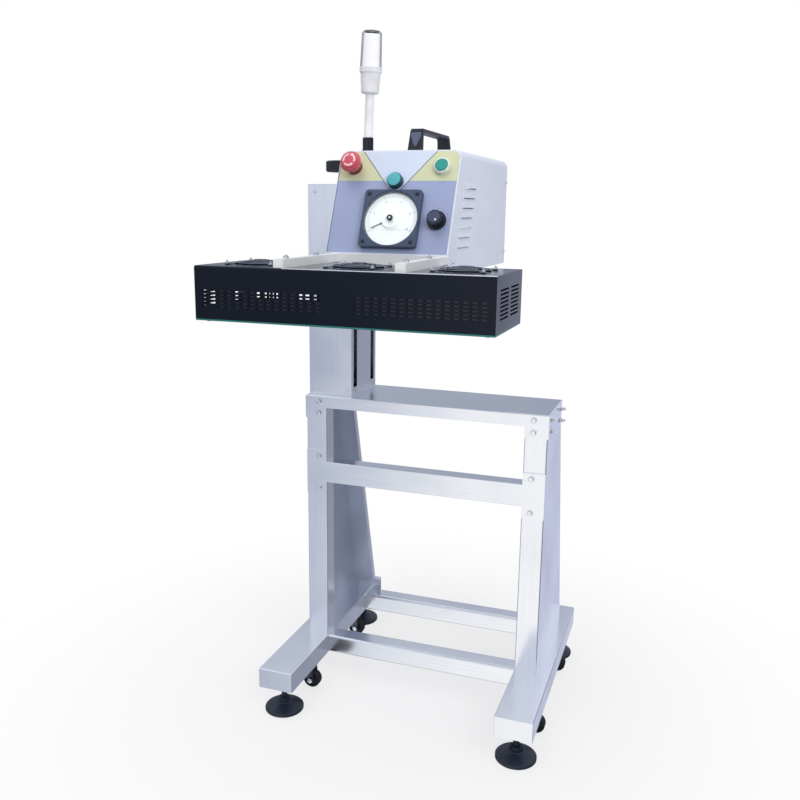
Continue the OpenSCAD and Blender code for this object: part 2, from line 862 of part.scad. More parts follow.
// Handwheel: hub, dished web and a thick rim with finger scallops
module handwheel() {
  r = handwheel_d / 2;
  h = handwheel_h;
  hub = handwheel_hub_r;
  rim = r - handwheel_rim;
  set = handwheel_recess;
  edge = handwheel_edge;
  draft = handwheel_draft;
  color(black) translate([col_x, col_y, column_top + handwheel_gap]) difference() {
    rotate_extrude() polygon([
      [screw_d / 2, 0], [hub, 0], [hub + draft, set], [rim - draft, set], [rim, 0],
      [r - edge, 0], [r, edge], [r, h - edge], [r - edge, h],
      [rim, h], [rim - draft, h - set], [hub + draft, h - set], [hub, h],
      [0, h], [0, h - handwheel_cap], [screw_d / 2, h - handwheel_cap]]);
    for (i = [0 : scallop_n - 1]) rotate([0, 0, i * 360 / scallop_n])
      translate([r + scallop_out, 0, -cut]) cylinder(d = scallop_d, h = h + 2 * cut);
  }
}

// Lift carriage: nut block on the rods and screw, two arms through the slots, and a side plate
module lift_carriage() {
  block_x0 = col_x0 + sheet_t + carriage_wall_gap;
  block_x1 = col_x1 - sheet_t - carriage_wall_gap;
  block_y0 = col_y0 + 2 * sheet_t + carriage_front_gap;
  block_y1 = col_y1 - sheet_t - carriage_wall_gap;
  plate_x0 = col_x1 + slot_face_gap;
  plate_y = slot_pitch / 2 + slot_w;
  arm_half = slot_w / 2 - slot_side_gap;
  color(dark_metal) difference() {
    union() {
      block([block_x0, block_y0, carriage_z0], [block_x1, block_y1, carriage_z1]);
      for (side = [-1, 1]) {
        y = col_y + side * slot_pitch / 2;
        block([block_x1 - cut, y - arm_half, carriage_z0 + arm_inset],
              [plate_x0 + cut, y + arm_half, carriage_z1 - arm_inset]);
      }
      block([plate_x0, col_y - plate_y, carriage_z0], [box_x0, col_y + plate_y, carriage_z1]);
    }
    at_rods(carriage_z0 - cut) cylinder(d = rod_d + 2 * run_gap, h = carriage_h + 2 * cut);
    translate([col_x, col_y, carriage_z0 - cut])
      cylinder(d = screw_d + 2 * run_gap, h = carriage_h + 2 * cut);
  }
}

// Side profile of the control box in Y and Z
module box_profile() {
  polygon([
    [box_y0, box_z], [box_y1, box_z], [box_y1, box_top],
    [box_y0 + panel_run, box_top], [box_y0, panel_z]]);
}

// Front section of the control box in X and Z with round top corners, drawn in by inset
module box_section(inset, z0) {
  arch(box_x0 + inset, box_x1 - inset, z0, box_top - inset, box_round - inset);
}

// Places of the louvres: a column that follows the slope of the panel
module at_louvres() {
  for (i = [0 : louvre_n - 1]) {
    z = louvre_z0 + i * louvre_pitch;
    y = box_y0 + (z - panel_z) / tan(panel_angle) + louvre_back;
    translate([box_x1, y, z]) children();
  }
}
module louvre_hood() {
  along_y(-louvre_l / 2, louvre_l / 2)
    polygon([
      [-box_t, 0], [louvre_out, 0], [louvre_out, louvre_face], [0, louvre_h], [-box_t, louvre_h]]);
}
module louvre_mouth() {
  y = louvre_l / 2 - louvre_wall;
  out = louvre_out - louvre_wall;
  top = louvre_h - 2 * louvre_wall;
  along_y(-y, y)
    polygon([
      [-box_t - cut, -cut], [out, -cut], [out, louvre_face - louvre_wall / 2],
      [0, top], [-box_t - cut, top]]);
}

// Folded cover: top and both sides, with a column of pressed louvres in the right side
module box_cover() {
  color(stainless) difference() {
    union() {
      intersection() {
        along_y(box_y0, box_y1) difference() {
          box_section(0, box_z);
          box_section(box_t, box_z - cut);
        }
        along_x(box_x0 - cut, box_x1 + cut) box_profile();
      }
      at_louvres() louvre_hood();
    }
    at_louvres() louvre_mouth();
  }
}

// Folded chassis: floor, upright front wall, sloped panel with its holes, and vented rear wall
module box_chassis() {
  color(stainless) difference() {
    intersection() {
      along_x(box_x0, box_x1) difference() {
        box_profile();
        polygon([
          [box_y0 + box_t, box_z + box_t], [box_y1 - box_t, box_z + box_t],
          [box_y1 - box_t, box_top + cut],
          [box_y0 + panel_run + panel_shift + cut / tan(panel_angle), box_top + cut],
          [box_y0 + box_t, panel_z + (box_t - panel_shift) * tan(panel_angle)]]);
      }
      along_y(box_y0 - cut, box_y1 + cut) box_section(box_t, box_z - cut);
    }
    on_panel(meter_u, meter_s, -box_t - cut) cylinder(d = meter_barrel_d + 2 * hole_gap, h = box_t + 2 * cut);
    on_panel(0, lamp_s, -box_t - cut) cylinder(d = barrel_d + 2 * hole_gap, h = box_t + 2 * cut);
    for (u = [-button_u, button_u])
      on_panel(u, button_s, -box_t - cut) cylinder(d = barrel_d + 2 * hole_gap, h = box_t + 2 * cut);
    on_panel(knob_u, knob_s, -box_t - cut) cylinder(d = shaft_d + 2 * run_gap, h = box_t + 2 * cut);
    rear_vents();
    translate([box_x, gland_y, box_z - cut]) cylinder(d = gland_d, h = box_t + 2 * cut);
  }
}
module rear_vents() {
  x = rear_vent_w / 2;
  for (i = [0 : louvre_n - 1]) {
    z = rear_vent_z0 + i * louvre_pitch;
    block([box_x - x, box_y1 - box_t - cut, z], [box_x + x, box_y1 + cut, z + rear_vent_h]);
  }
}

// Printed overlay on the sloped panel
module panel_overlay() {
  w = box_w - 2 * (box_t + overlay_edge);
  h = panel_l - 2 * overlay_edge - box_t;
  color([0.65, 0.69, 0.82]) on_panel(0, 0) linear_extrude(overlay_t) difference() {
    arch(-w / 2, w / 2, overlay_edge, overlay_edge + h, overlay_round);
    translate([meter_u, meter_s]) circle(d = meter_barrel_d + 2 * hole_gap);
    translate([0, lamp_s]) circle(d = barrel_d + 2 * hole_gap);
    for (u = [-button_u, button_u]) translate([u, button_s]) circle(d = barrel_d + 2 * hole_gap);
    translate([knob_u, knob_s]) circle(d = shaft_d + 2 * shaft_gap);
  }
}

// Power inverter: board with a finned heat sink on the chassis floor
module inverter_module() {
  y = (box_y0 + box_y1 - inverter_l) / 2;
  step = (inverter_w - fin_t) / (fin_n - 1);
  color(dark_metal) translate([box_x - inverter_w / 2, y, box_z + box_t]) {
    cube([inverter_w, inverter_l, inverter_t]);
    for (i = [0 : fin_n - 1]) translate([i * step, 0, 0]) cube([fin_t, inverter_l, fin_h]);
  }
}

// Cable gland under the floor of the control box
module cable_gland() {
  color(black) translate([box_x, gland_y, box_z]) difference() {
    union() {
      translate([0, 0, -gland_nut_h]) cylinder(d = gland_nut_d, h = gland_nut_h, $fn = 6);
      translate([0, 0, -gland_l]) cylinder(d1 = gland_tip_d, d2 = gland_d, h = gland_l - gland_nut_h);
      translate([0, 0, -cut]) cylinder(d = gland_d - 2 * hole_gap, h = cut + box_t + gland_in);
    }
    translate([0, 0, -gland_l - cut])
      cylinder(d = gland_bore_d, h = gland_l + box_t + gland_in + 2 * cut);
  }
}

// Meter: square bezel with a round pocket, a barrel behind the panel and the needle's pivot
module meter_case() {
  color(black) on_panel(meter_u, meter_s, overlay_t) {
    difference() {
      union() {
        linear_extrude(meter_h) round_rect(meter_size, meter_size, meter_round);
        translate([0, 0, -meter_barrel_l]) cylinder(d = meter_barrel_d, h = meter_barrel_l + cut);
      }
      translate([0, 0, meter_floor]) cylinder(d = dial_d, h = meter_h);
      translate([0, 0, glass_seat]) cylinder(d = dial_d + 2 * glass_lip, h = meter_h);
    }
    cylinder(d = pivot_d, h = meter_floor + dial_t + needle_gap + needle_h);
  }
}
module meter_dial() {
  color("white") on_panel(meter_u, meter_s, overlay_t + meter_floor) difference() {
    cylinder(d = dial_d - 2 * hole_gap, h = dial_t);
    translate([0, 0, -cut]) cylinder(d = pivot_d + 2 * hole_gap, h = dial_t + 2 * cut);
  }
}
module meter_needle() {
  half = [[-needle_tail, needle_root_w / 2], [0, needle_root_w / 2], [needle_l, needle_tip_w / 2]];
  color(black) on_panel(meter_u, meter_s, overlay_t + meter_floor + dial_t + needle_gap)
    rotate([0, 0, needle_rest]) difference() {
      union() {
        cylinder(d = needle_hub_d, h = needle_h);
        linear_extrude(needle_h / 2) polygon(concat(half, mirrored(half)));
      }
      translate([0, 0, -cut]) cylinder(d = pivot_d + 2 * run_gap, h = needle_h + 2 * cut);
    }
}
module meter_window() {
  color([0.9, 0.95, 1, 0.3]) on_panel(meter_u, meter_s, overlay_t + glass_seat)
    cylinder(d = dial_d + 2 * (glass_lip - hole_gap), h = glass_t);
}

// Indicator lamp: barrel, bezel and domed lens, turned as one unit
module indicator_lamp() {
  color([0.1, 0.55, 0.45]) on_panel(0, lamp_s, overlay_t) rotate_extrude() polygon([
    [0, -barrel_l], [barrel_d / 2, -barrel_l], [barrel_d / 2, 0], [bezel_d / 2, 0],
    [bezel_d / 2, lamp_bezel_h], [lamp_r, lamp_bezel_h + cap_edge], [lamp_r, lamp_h - lamp_edge],
    [lamp_r - lamp_edge, lamp_h], [0, lamp_h + lamp_crown]]);
}

// Start button: tall bezel with a pocket over a guide bore, and the headed cap that slides in it
module start_bezel() {
  stem_r = barrel_d / 2 - barrel_wall;
  pocket_r = bezel_d / 2 - pocket_wall;
  color("silver") on_panel(button_u, button_s, overlay_t) rotate_extrude() polygon([
    [0, -barrel_l], [barrel_d / 2, -barrel_l], [barrel_d / 2, 0], [bezel_d / 2, 0],
    [bezel_d / 2, flange_h - flange_edge], [bezel_d / 2 - flange_edge, flange_h],
    [pocket_r, flange_h], [pocket_r, pocket_n], [stem_r, pocket_n],
    [stem_r, barrel_floor - barrel_l], [0, barrel_floor - barrel_l]]);
}
module start_cap() {
  stem_r = barrel_d / 2 - barrel_wall - run_gap;
  head_r = bezel_d / 2 - pocket_wall - seat_gap;
  bottom = barrel_floor - barrel_l + seat_gap + start_travel;
  under = pocket_n + seat_gap + start_travel;
  top = flange_h + cap_rise;
  color([0.1, 0.6, 0.3]) on_panel(button_u, button_s, overlay_t) rotate_extrude() polygon([
    [0, bottom], [stem_r, bottom], [stem_r, under], [head_r, under],
    [head_r, top - cap_edge], [head_r - cap_edge, top], [0, top]]);
}

// Emergency stop: collar with a guide bore, sliding stem, and a mushroom head that twists on it
module e_stop_collar() {
  r = stop_stem_d / 2 + run_gap;
  color(dark_metal) on_panel(-button_u, button_s, overlay_t) rotate_extrude() polygon([
    [r, -barrel_l], [barrel_d / 2, -barrel_l], [barrel_d / 2, 0], [bezel_d / 2, 0],
    [bezel_d / 2, stop_collar_base], [bezel_d / 2 - stop_collar_taper, stop_collar_h], [r, stop_collar_h]]);
}
module e_stop_stem() {
  bottom = stop_travel - barrel_l;
  color(dark_metal) on_panel(-button_u, button_s, overlay_t + bottom)
    cylinder(d = stop_stem_d, h = stop_stem_top - bottom);
}
module e_stop_head() {
  r = stop_d / 2 - stop_rim;
  rim_z = stop_head_h - 2 * stop_rim;
  color("red") on_panel(-button_u, button_s, overlay_t + stop_head_n) rotate_extrude() difference() {
    union() {
      polygon([[0, 0], [r, 0], [r + stop_rim, rim_z], [0, rim_z]]);
      translate([r, rim_z]) circle(stop_rim);
      square([r, rim_z + stop_rim]);
      intersection() {
        translate([0, stop_head_h - stop_dome_r]) circle(stop_dome_r);
        square([r, stop_head_h]);
      }
    }
    translate([-cut, -cut])
      square([cut + stop_stem_d / 2 + run_gap, cut + stop_stem_top - stop_head_n + seat_gap]);
    translate([-stop_d, -stop_d]) square([stop_d, 2 * stop_d]);
  }
}

// Power knob: skirt, fluted grip and its shaft through the panel
module power_knob() {
  color(black) on_panel(knob_u, knob_s, overlay_t + knob_lift) {
    cylinder(d = knob_d, h = knob_skirt_h);
    translate([0, 0, knob_skirt_h / 2]) linear_extrude(knob_h - knob_skirt_h / 2) difference() {
      circle(d = grip_d);
      for (i = [0 : flute_n - 1]) rotate(i * 360 / flute_n)
        translate([(grip_d + flute_d / 2) / 2, 0]) circle(d = flute_d);
    }
    translate([0, 0, -shaft_l]) cylinder(d = shaft_d, h = shaft_l + knob_skirt_h / 2);
  }
}

// Carry handle: a moulded strap with slanting legs, narrower along the top
module carry_handle() {
  l = handle_l;
  h = handle_h;
  foot = handle_w / 2;
  color(black) translate([handle_x, handle_y0, box_top]) intersection() {
    along_x(-foot, foot) difference() {
      handle_outline(0, l, h, handle_slant, 0);
      handle_outline(handle_leg, l - handle_leg, h - handle_bar, handle_slant - handle_thin, cut);
    }
    along_y(0, l) polygon([[-foot, 0], [foot, 0], [foot - handle_narrow, h], [handle_narrow - foot, h]]);
  }
}
module handle_outline(y0, y1, h, slant, below) {
  c = handle_chamfer;
  polygon([[y0, -below], [y1, -below], [y1 - slant, h - c], [y1 - slant - c, h],
           [y0 + slant + c, h], [y0 + slant, h - c]]);
}

// Beacon: mount with a leaning seat, tube pole, tapered base with its lamp post, and a hollow lens
module on_pole(n) {
  translate([beacon_x, beacon_py, box_top + mount_h - pole_seat])
    rotate([0, beacon_lean, 0])
      translate([0, 0, n]) children();
}
module beacon_mount() {
  color(black) difference() {
    translate([beacon_x, beacon_py, box_top]) {
      cylinder(d = mount_flange_d, h = mount_flange_h);
      cylinder(d = mount_d, h = mount_h);
    }
    on_pole(0) cylinder(d = pole_d, h = pole_seat + mount_flange_h);
  }
}
module beacon_pole() {
  color("silver") on_pole(0) difference() {
    cylinder(d = pole_d, h = pole_seat + pole_l);
    translate([0, 0, -cut]) cylinder(d = pole_d - 2 * pole_wall, h = pole_seat + pole_l + 2 * cut);
  }
}
module beacon_base() {
  r0 = base_d / 2;
  r1 = lens_d / 2 + base_lip;
  post_r = lamp_post_d / 2;
  color("white") on_pole(pole_seat + pole_l) rotate_extrude() polygon([
    [0, 0], [r0 - base_edge, 0], [r0, base_edge], [r1 - base_edge, base_step_z],
    [r1, base_step_z + base_step_h], [r1, base_h], [post_r, base_h],
    [post_r, base_h + lamp_post_h], [0, base_h + lamp_post_h]]);
}
module beacon_lens() {
  r = lens_d / 2;
  w = lens_wall;
  top_r = r - lens_draft;
  edge_r = top_r - lens_edge;
  color([0.85, 0.88, 0.9, 0.5]) on_pole(pole_seat + pole_l + base_h)
    rotate_extrude() polygon([
      [r - w, 0], [r, 0], [top_r, lens_h - lens_edge], [edge_r, lens_h], [0, lens_h],
      [0, lens_h - w], [edge_r - w, lens_h - w], [top_r - w, lens_h - lens_edge - w]]);
}

// Bracket: two arms over the head and a back plate on the control box's front wall
module head_bracket() {
  y1 = box_y0 - bracket_t;
  color("gainsboro") difference() {
    union() {
      for (x = arm_x)
        block([x - arm_w / 2, arm_y0, head_z1], [x + arm_w / 2, y1, arm_z1]);
      block([arm_x[0] - arm_w / 2, y1, bracket_z0], [arm_x[1] + arm_w / 2, box_y0, bracket_z1]);
    }
    at_arm_bolts(head_z1 - cut) cylinder(d = bolt_d + 2 * hole_gap, h = arm_h + 2 * cut);
  }
}
module at_arm_bolts(z) {
  for (x = arm_x)
    for (y = arm_bolt_y) translate([x, y, z]) children();
}

// Vent slots: two groups through the front wall, one through the rear wall, a double column in each end
module vent_group(x0) {
  for (i = [0 : vent_cols - 1])
    for (j = [0 : vent_rows - 1])
      translate([x0 + i * vent_pitch_x, vent_z0 + j * vent_pitch_z]) square([vent_l, vent_h]);
}
module side_vents() {
  for (y = [head_cy - side_vent_gap / 2 - side_vent_l, head_cy + side_vent_gap / 2])
    for (j = [0 : side_vent_rows - 1])
      translate([y, side_vent_z0 + j * vent_pitch_z]) square([side_vent_l, vent_h]);
}

// Long section of the housing in Y and Z, open below, with bent top edges
module head_section(inset, z0) {
  arch(head_y0 + inset, head_y1 - inset, z0, head_z1 - inset, head_round - inset);
}

// Folded black housing with vents, fan holes and bolt holes
module head_housing() {
  color(black) difference() {
    union() {
      along_x(head_x0, head_x1) difference() {
        head_section(0, shell_z0);
        head_section(head_t, shell_z0 - cut);
      }
      for (x = [head_x0, head_x1 - head_t]) along_x(x, x + head_t) head_section(0, shell_z0);
    }
    along_y(head_y0 - cut, head_y1 + cut) vent_group(head_x0 + vent_end);
    along_y(head_y0 - cut, head_y0 + head_t + cut)
      vent_group(head_x1 - vent_end - vent_l - (vent_cols - 1) * vent_pitch_x);
    along_x(head_x0 - cut, head_x1 + cut) side_vents();
    for (x = fan_x) translate([x, head_cy, fan_z1 - cut]) cylinder(d = fan_bore, h = head_t + 2 * cut);
    at_arm_bolts(fan_z1 - cut) cylinder(d = bolt_d + 2 * hole_gap, h = head_t + 2 * cut);
  }
}
module head_bottom_plate() {
  color([0.1, 0.45, 0.42]) block([head_x0, head_y0, head_z0], [head_x1, head_y1, shell_z0]);
}

// Flat racetrack coil on the bottom plate
module induction_coil() {
  w = head_w - 2 * coil_end_gap;
  d = head_d - 2 * coil_side_gap;
  color("chocolate") translate([head_cx, head_cy, shell_z0]) linear_extrude(coil_t) difference() {
    racetrack(w, d);
    racetrack(w - d + coil_eye, coil_eye);
  }
}
module racetrack(w, d) {
  square([w - d, d], center = true);
  for (x = [-1, 1]) translate([x * (w - d) / 2, 0]) circle(d = d);
}

// Fans: square frames with a floor spider and post, bladed rotors on the posts, wire guards above
module fan_frames() {
  color(black) for (x = fan_x) translate([x, head_cy, fan_z0]) {
    difference() {
      linear_extrude(fan_h) round_rect(fan_size, fan_size, fan_round);
      translate([0, 0, -cut]) cylinder(d = fan_bore, h = fan_h + 2 * cut);
    }
    cylinder(d = fan_hub_d, h = fan_floor);
    cylinder(d = fan_post_d, h = fan_h - fan_post_gap);
    for (a = [45 : 90 : 315]) rotate([0, 0, a])
      block([fan_hub_d / 2 - cut, -spider_w / 2, 0], [fan_bore / 2 + cut, spider_w / 2, fan_floor]);
  }
}
module fan_rotor(x) {
  tip_r = fan_bore / 2 - fan_tip_gap;
  hub_z = fan_floor + rotor_gap;
  hub_h = fan_h - hub_z - rotor_top_gap;
  color(black) translate([x, head_cy, fan_z0 + hub_z]) difference() {
    union() {
      cylinder(d = fan_hub_d, h = hub_h);
      intersection() {
        cylinder(r = tip_r, h = hub_h);
        for (i = [0 : blade_n - 1]) rotate([0, 0, i * 360 / blade_n])
          translate([0, 0, hub_h / 2]) rotate([blade_pitch, 0, 0])
            block([fan_hub_d / 2 - blade_t, -blade_chord / 2, -blade_t / 2],
                  [fan_bore / 2, blade_chord / 2, blade_t / 2]);
      }
    }
    translate([0, 0, -cut]) cylinder(d = fan_post_d + 2 * run_gap, h = hub_h + 2 * cut);
  }
}
module fan_rotor_left() { fan_rotor(fan_x[0]); }
module fan_rotor_middle() { fan_rotor(fan_x[1]); }
module fan_rotor_right() { fan_rotor(fan_x[2]); }
// Domed wire guards: rings on four bars that rise from eyes on the head's top
module fan_guards() {
  w = guard_wire;
  outer_r = fan_bore / 2 - w;
  step = (outer_r - guard_inner_r) / (guard_rings - 1);
  fall = (guard_rise - guard_foot) / (guard_rings - 1);
  eye_x = fan_screw * sqrt(2);
  color("silver") for (x = fan_x) translate([x, head_cy, head_z1]) {
    for (i = [0 : guard_rings - 1]) rotate_extrude()
      translate([guard_inner_r + i * step - w / 2, guard_rise - i * fall - w / 2]) square(w);
    for (a = [45 : 90 : 315]) rotate([0, 0, a]) difference() {
      union() {
        along_y(-w / 2, w / 2) polygon([
          [guard_inner_r, guard_rise - w / 2], [outer_r, guard_foot - w / 2], [eye_x, 0],
          [eye_x, w], [outer_r, guard_foot + w / 2], [guard_inner_r, guard_rise + w / 2]]);
        translate([eye_x, 0, 0]) cylinder(r = guard_eye_r, h = w);
      }
      translate([eye_x, 0, -cut]) cylinder(r = guard_hole_r, h = w + 2 * cut);
    }
  }
}

// Studs with nuts on the arms, and the heads of the bottom plate's screws
module head_fasteners() {
  stud_down = arm_h + head_t + arm_stud_down;
  color("silver") {
    at_arm_bolts(arm_z1) {
      cylinder(d = bolt_head_d, h = bolt_head_h, $fn = 6);
      translate([0, 0, -stud_down]) cylinder(d = bolt_d, h = stud_down + arm_stud_up);
    }
    for (x = [head_x0 + plate_bolt_inset, head_x1 - plate_bolt_inset])
      for (y = [head_y0 + plate_bolt_inset, head_y1 - plate_bolt_inset])
        translate([x, y, head_z0 - plate_bolt_h]) cylinder(d = plate_bolt_d, h = plate_bolt_h);
  }
}

left_side_frame();
right_side_frame();
left_foot_beam();
right_foot_beam();
front_cross_tube();
rear_cross_tube();
shelf();
mid_rail();
stand_bolts();
column_shell();
column_cover();
column_cap();
rod_base();
guide_rods();
lead_screw();
handwheel();
lift_carriage();
box_chassis();
box_cover();
panel_overlay();
inverter_module();
cable_gland();
meter_case();
meter_dial();
meter_needle();
meter_window();
indicator_lamp();
start_bezel();
start_cap();
e_stop_collar();
e_stop_stem();
e_stop_head();
power_knob();
carry_handle();
beacon_mount();
beacon_pole();
beacon_base();
beacon_lens();
head_bracket();
head_housing();
head_bottom_plate();
induction_coil();
fan_frames();
fan_guards();
fan_rotor_left();
fan_rotor_middle();
fan_rotor_right();
head_fasteners();
levelling_foot_front_left();
levelling_foot_front_right();
levelling_foot_rear_left();
levelling_foot_rear_right();
castor_fork_front_left();
castor_fork_front_right();
castor_fork_rear_left();
castor_fork_rear_right();
castor_wheel_front_left();
castor_wheel_front_right();
castor_wheel_rear_left();
castor_wheel_rear_right();
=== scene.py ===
"""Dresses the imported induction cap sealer: finishes, edges, fittings, light and camera."""

from __future__ import annotations

import logging
import math
from dataclasses import dataclass, field
from enum import Enum
from typing import ClassVar, Iterable, Sequence

import bmesh
import bpy
from mathutils import Matrix, Vector

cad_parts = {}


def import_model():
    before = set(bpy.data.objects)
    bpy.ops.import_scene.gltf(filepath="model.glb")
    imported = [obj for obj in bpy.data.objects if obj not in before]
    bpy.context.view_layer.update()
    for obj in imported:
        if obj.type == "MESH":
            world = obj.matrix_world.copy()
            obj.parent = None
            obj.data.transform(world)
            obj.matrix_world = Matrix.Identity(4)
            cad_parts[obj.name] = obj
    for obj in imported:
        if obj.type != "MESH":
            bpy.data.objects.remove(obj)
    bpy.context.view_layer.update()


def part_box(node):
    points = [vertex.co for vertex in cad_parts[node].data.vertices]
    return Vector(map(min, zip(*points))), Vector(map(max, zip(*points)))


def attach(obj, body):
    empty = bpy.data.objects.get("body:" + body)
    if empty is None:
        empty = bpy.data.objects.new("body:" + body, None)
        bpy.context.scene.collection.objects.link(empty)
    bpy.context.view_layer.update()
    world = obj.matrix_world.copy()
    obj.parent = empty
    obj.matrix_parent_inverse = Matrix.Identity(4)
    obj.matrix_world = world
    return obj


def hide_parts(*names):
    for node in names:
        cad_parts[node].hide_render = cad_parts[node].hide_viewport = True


LOG = logging.getLogger("cap_sealer")
MM = 0.001

Colour = tuple[float, float, float]
Point2 = tuple[float, float]
Point3 = tuple[float, float, float]
Stop = tuple[float, Colour]

WHITE: Colour = (1.0, 1.0, 1.0)
# Most of a noise's values lie between these two
NOISE_SPAN: Point2 = (0.3, 0.7)
# Points closer than this are one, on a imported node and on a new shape
NODE_SEAM = 1e-6
SHAPE_SEAM = 1e-7
# Edges that turn by more are rounded, and those that turn by less shade smoothly, in degrees
SHARP_ANGLE = 30.0
SMOOTH_ANGLE = 35.0
# A face whose normal lies this much along an axis counts as square to it
FLAT = 0.9
# A colour mix node's sockets
MIX_FIRST, MIX_SECOND, MIX_RESULT = 6, 7, 2


def srgb(red: int, green: int, blue: int) -> Colour:
    """Turns a colour as it is seen on a screen into shader values.

    Args:
        red: red from 0 to 255.
        green: green from 0 to 255.
        blue: blue from 0 to 255.

    Returns:
        The same colour in linear light.
    """
    def linear(level: int) -> float:
        """Returns one channel in linear light."""
        share = level / 255
        return share / 12.92 if share <= 0.04045 else ((share + 0.055) / 1.055) ** 2.4

    return linear(red), linear(green), linear(blue)


class Grain(Enum):
    """The way a sheet was brushed."""

    X = 0
    Y = 1
    Z = 2

    def scale(self, along: float, across: float) -> Vector:
        """Makes a texture scale that is low along the grain and high across it.

        Args:
            along: waves per metre along the grain.
            across: waves per metre across it.

        Returns:
            The scale along X, Y and Z.
        """
        values = [across, across, across]
        values[self.value] = along
        return Vector(values)


class Body(str, Enum):
    """The moving bodies of the frame that new pieces ride on."""

    STAND = "stand"
    LIFT = "lift"
    SCREW = "lift_screw"
    START = "start_button"
    STOP_HEAD = "e_stop_mushroom"
    DIAL = "power_dial"


class NodeGraph:
    """A material's node tree, with short ways to add and join its nodes."""

    def __init__(self, name: str) -> None:
        """Starts a material with a Principled shader.

        Args:
            name: the material's name.
        """
        self.material = bpy.data.materials.new(name)
        self.material.use_nodes = True
        self.nodes = self.material.node_tree.nodes
        self.links = self.material.node_tree.links
        self.shader = self.nodes["Principled BSDF"]

    def set(self, **values: object) -> None:
        """Sets constants on the shader's own sockets, with _ for a space in a socket's name."""
        for key, value in values.items():
            self.shader.inputs[key.replace("_", " ")].default_value = value

    def feed(self, source: bpy.types.NodeSocket, socket: str) -> None:
        """Links a source to one of the shader's sockets."""
        self.links.new(source, self.shader.inputs[socket])

    def noise(self, scale: Sequence[float], detail: float = 3.0) -> bpy.types.NodeSocket:
        """Adds noise on the object's own coordinates.

        Args:
            scale: waves per metre along X, Y and Z.
            detail: octaves of the noise.

        Returns:
            The noise's value socket.
        """
        place = self.nodes.new("ShaderNodeTexCoord")
        mapping = self.nodes.new("ShaderNodeMapping")
        mapping.inputs["Scale"].default_value = tuple(scale)
        texture = self.nodes.new("ShaderNodeTexNoise")
        texture.inputs["Scale"].default_value = 1.0
        texture.inputs["Detail"].default_value = detail
        self.links.new(place.outputs["Object"], mapping.inputs["Vector"])
        self.links.new(mapping.outputs["Vector"], texture.inputs["Vector"])
        return texture.outputs["Fac"]

    def cloud(self, waves: float, detail: float = 3.0) -> bpy.types.NodeSocket:
        """Adds noise with the same number of waves per metre along every axis."""
        return self.noise((waves, waves, waves), detail)

    def mapped(self, source: bpy.types.NodeSocket, span: Point2, low: float,
               high: float) -> bpy.types.NodeSocket:
        """Maps a span of a value to a range.

        Args:
            source: the value.
            span: its two ends.
            low: what the first end becomes.
            high: what the second end becomes.

        Returns:
            The mapped value socket.
        """
        node = self.nodes.new("ShaderNodeMapRange")
        node.inputs["From Min"].default_value, node.inputs["From Max"].default_value = span
        node.inputs["To Min"].default_value = low
        node.inputs["To Max"].default_value = high
        self.links.new(source, node.inputs["Value"])
        return node.outputs["Result"]

    def shades(self, source: bpy.types.NodeSocket, dark: Colour,
               light: Colour) -> bpy.types.NodeSocket:
        """Blends two shades of a colour by a noise.

        Args:
            source: the noise.
            dark: the colour at its low end.
            light: the colour at its high end.

        Returns:
            The blended colour socket.
        """
        ramp = self.nodes.new("ShaderNodeValToRGB")
        for element, position, colour in zip(ramp.color_ramp.elements, NOISE_SPAN, (dark, light)):
            element.position = position
            element.color = (*colour, 1)
        self.links.new(source, ramp.inputs["Fac"])
        return ramp.outputs["Color"]

    def bump(self, height: bpy.types.NodeSocket, depth: float, strength: float) -> None:
        """Raises the surface by a noise.

        Args:
            height: the noise.
            depth: the relief's height in metres.
            strength: how much of it shows.
        """
        node = self.nodes.new("ShaderNodeBump")
        node.inputs["Strength"].default_value = strength
        node.inputs["Distance"].default_value = depth
        self.links.new(height, node.inputs["Height"])
        self.feed(node.outputs["Normal"], "Normal")


def toned(colour: Colour, factor: float) -> Colour:
    """Returns a colour made lighter or darker by a factor."""
    return tuple(min(1.0, channel * factor) for channel in colour)


@dataclass(frozen=True)
class Finish:
    """A surface finish; each kind dresses a node graph in its own way."""

    name: str
    colour: Colour
    roughness: float
    made: ClassVar[dict[str, bpy.types.Material]] = {}

    def dress(self, graph: NodeGraph) -> None:
        """Sets up the shader of this finish.

        Args:
            graph: the material's node graph.
        """
        raise NotImplementedError

    def tint(self, graph: NodeGraph, source: bpy.types.NodeSocket, tones: Point2) -> None:
        """Varies the colour by a noise between a dark and a light tone of it."""
        dark, light = (toned(self.colour, tone) for tone in tones)
        graph.feed(graph.shades(source, dark, light), "Base Color")

    def gloss(self, graph: NodeGraph, source: bpy.types.NodeSocket, steps: Point2) -> None:
        """Varies the roughness by a noise, from a step below it to a step above it."""
        low, high = (self.roughness + step for step in steps)
        graph.feed(graph.mapped(source, NOISE_SPAN, low, high), "Roughness")

    def material(self) -> bpy.types.Material:
        """Makes this finish's material on first use.

        Returns:
            The material.
        """
        if self.name not in Finish.made:
            graph = NodeGraph(self.name)
            self.dress(graph)
            Finish.made[self.name] = graph.material
        return Finish.made[self.name]


@dataclass(frozen=True)
class BrushedSteel(Finish):
    """Stainless sheet with fine straight brushing and faint handling marks."""

    grain: Grain = Grain.Z
    along: float = 9.0
    across: float = 1500.0
    clouds: float = 7.0
    tones: Point2 = (0.93, 1.02)
    steps: Point2 = (-0.05, 0.06)
    depth: float = 0.02 * MM
    strength: float = 0.35

    def dress(self, graph: NodeGraph) -> None:
        """Sets up brushed metal along the grain.

        Args:
            graph: the material's node graph.
        """
        graph.set(Metallic=1.0)
        brush = graph.noise(self.grain.scale(self.along, self.across))
        self.tint(graph, brush, self.tones)
        self.gloss(graph, graph.cloud(self.clouds), self.steps)
        graph.bump(brush, self.depth, self.strength)


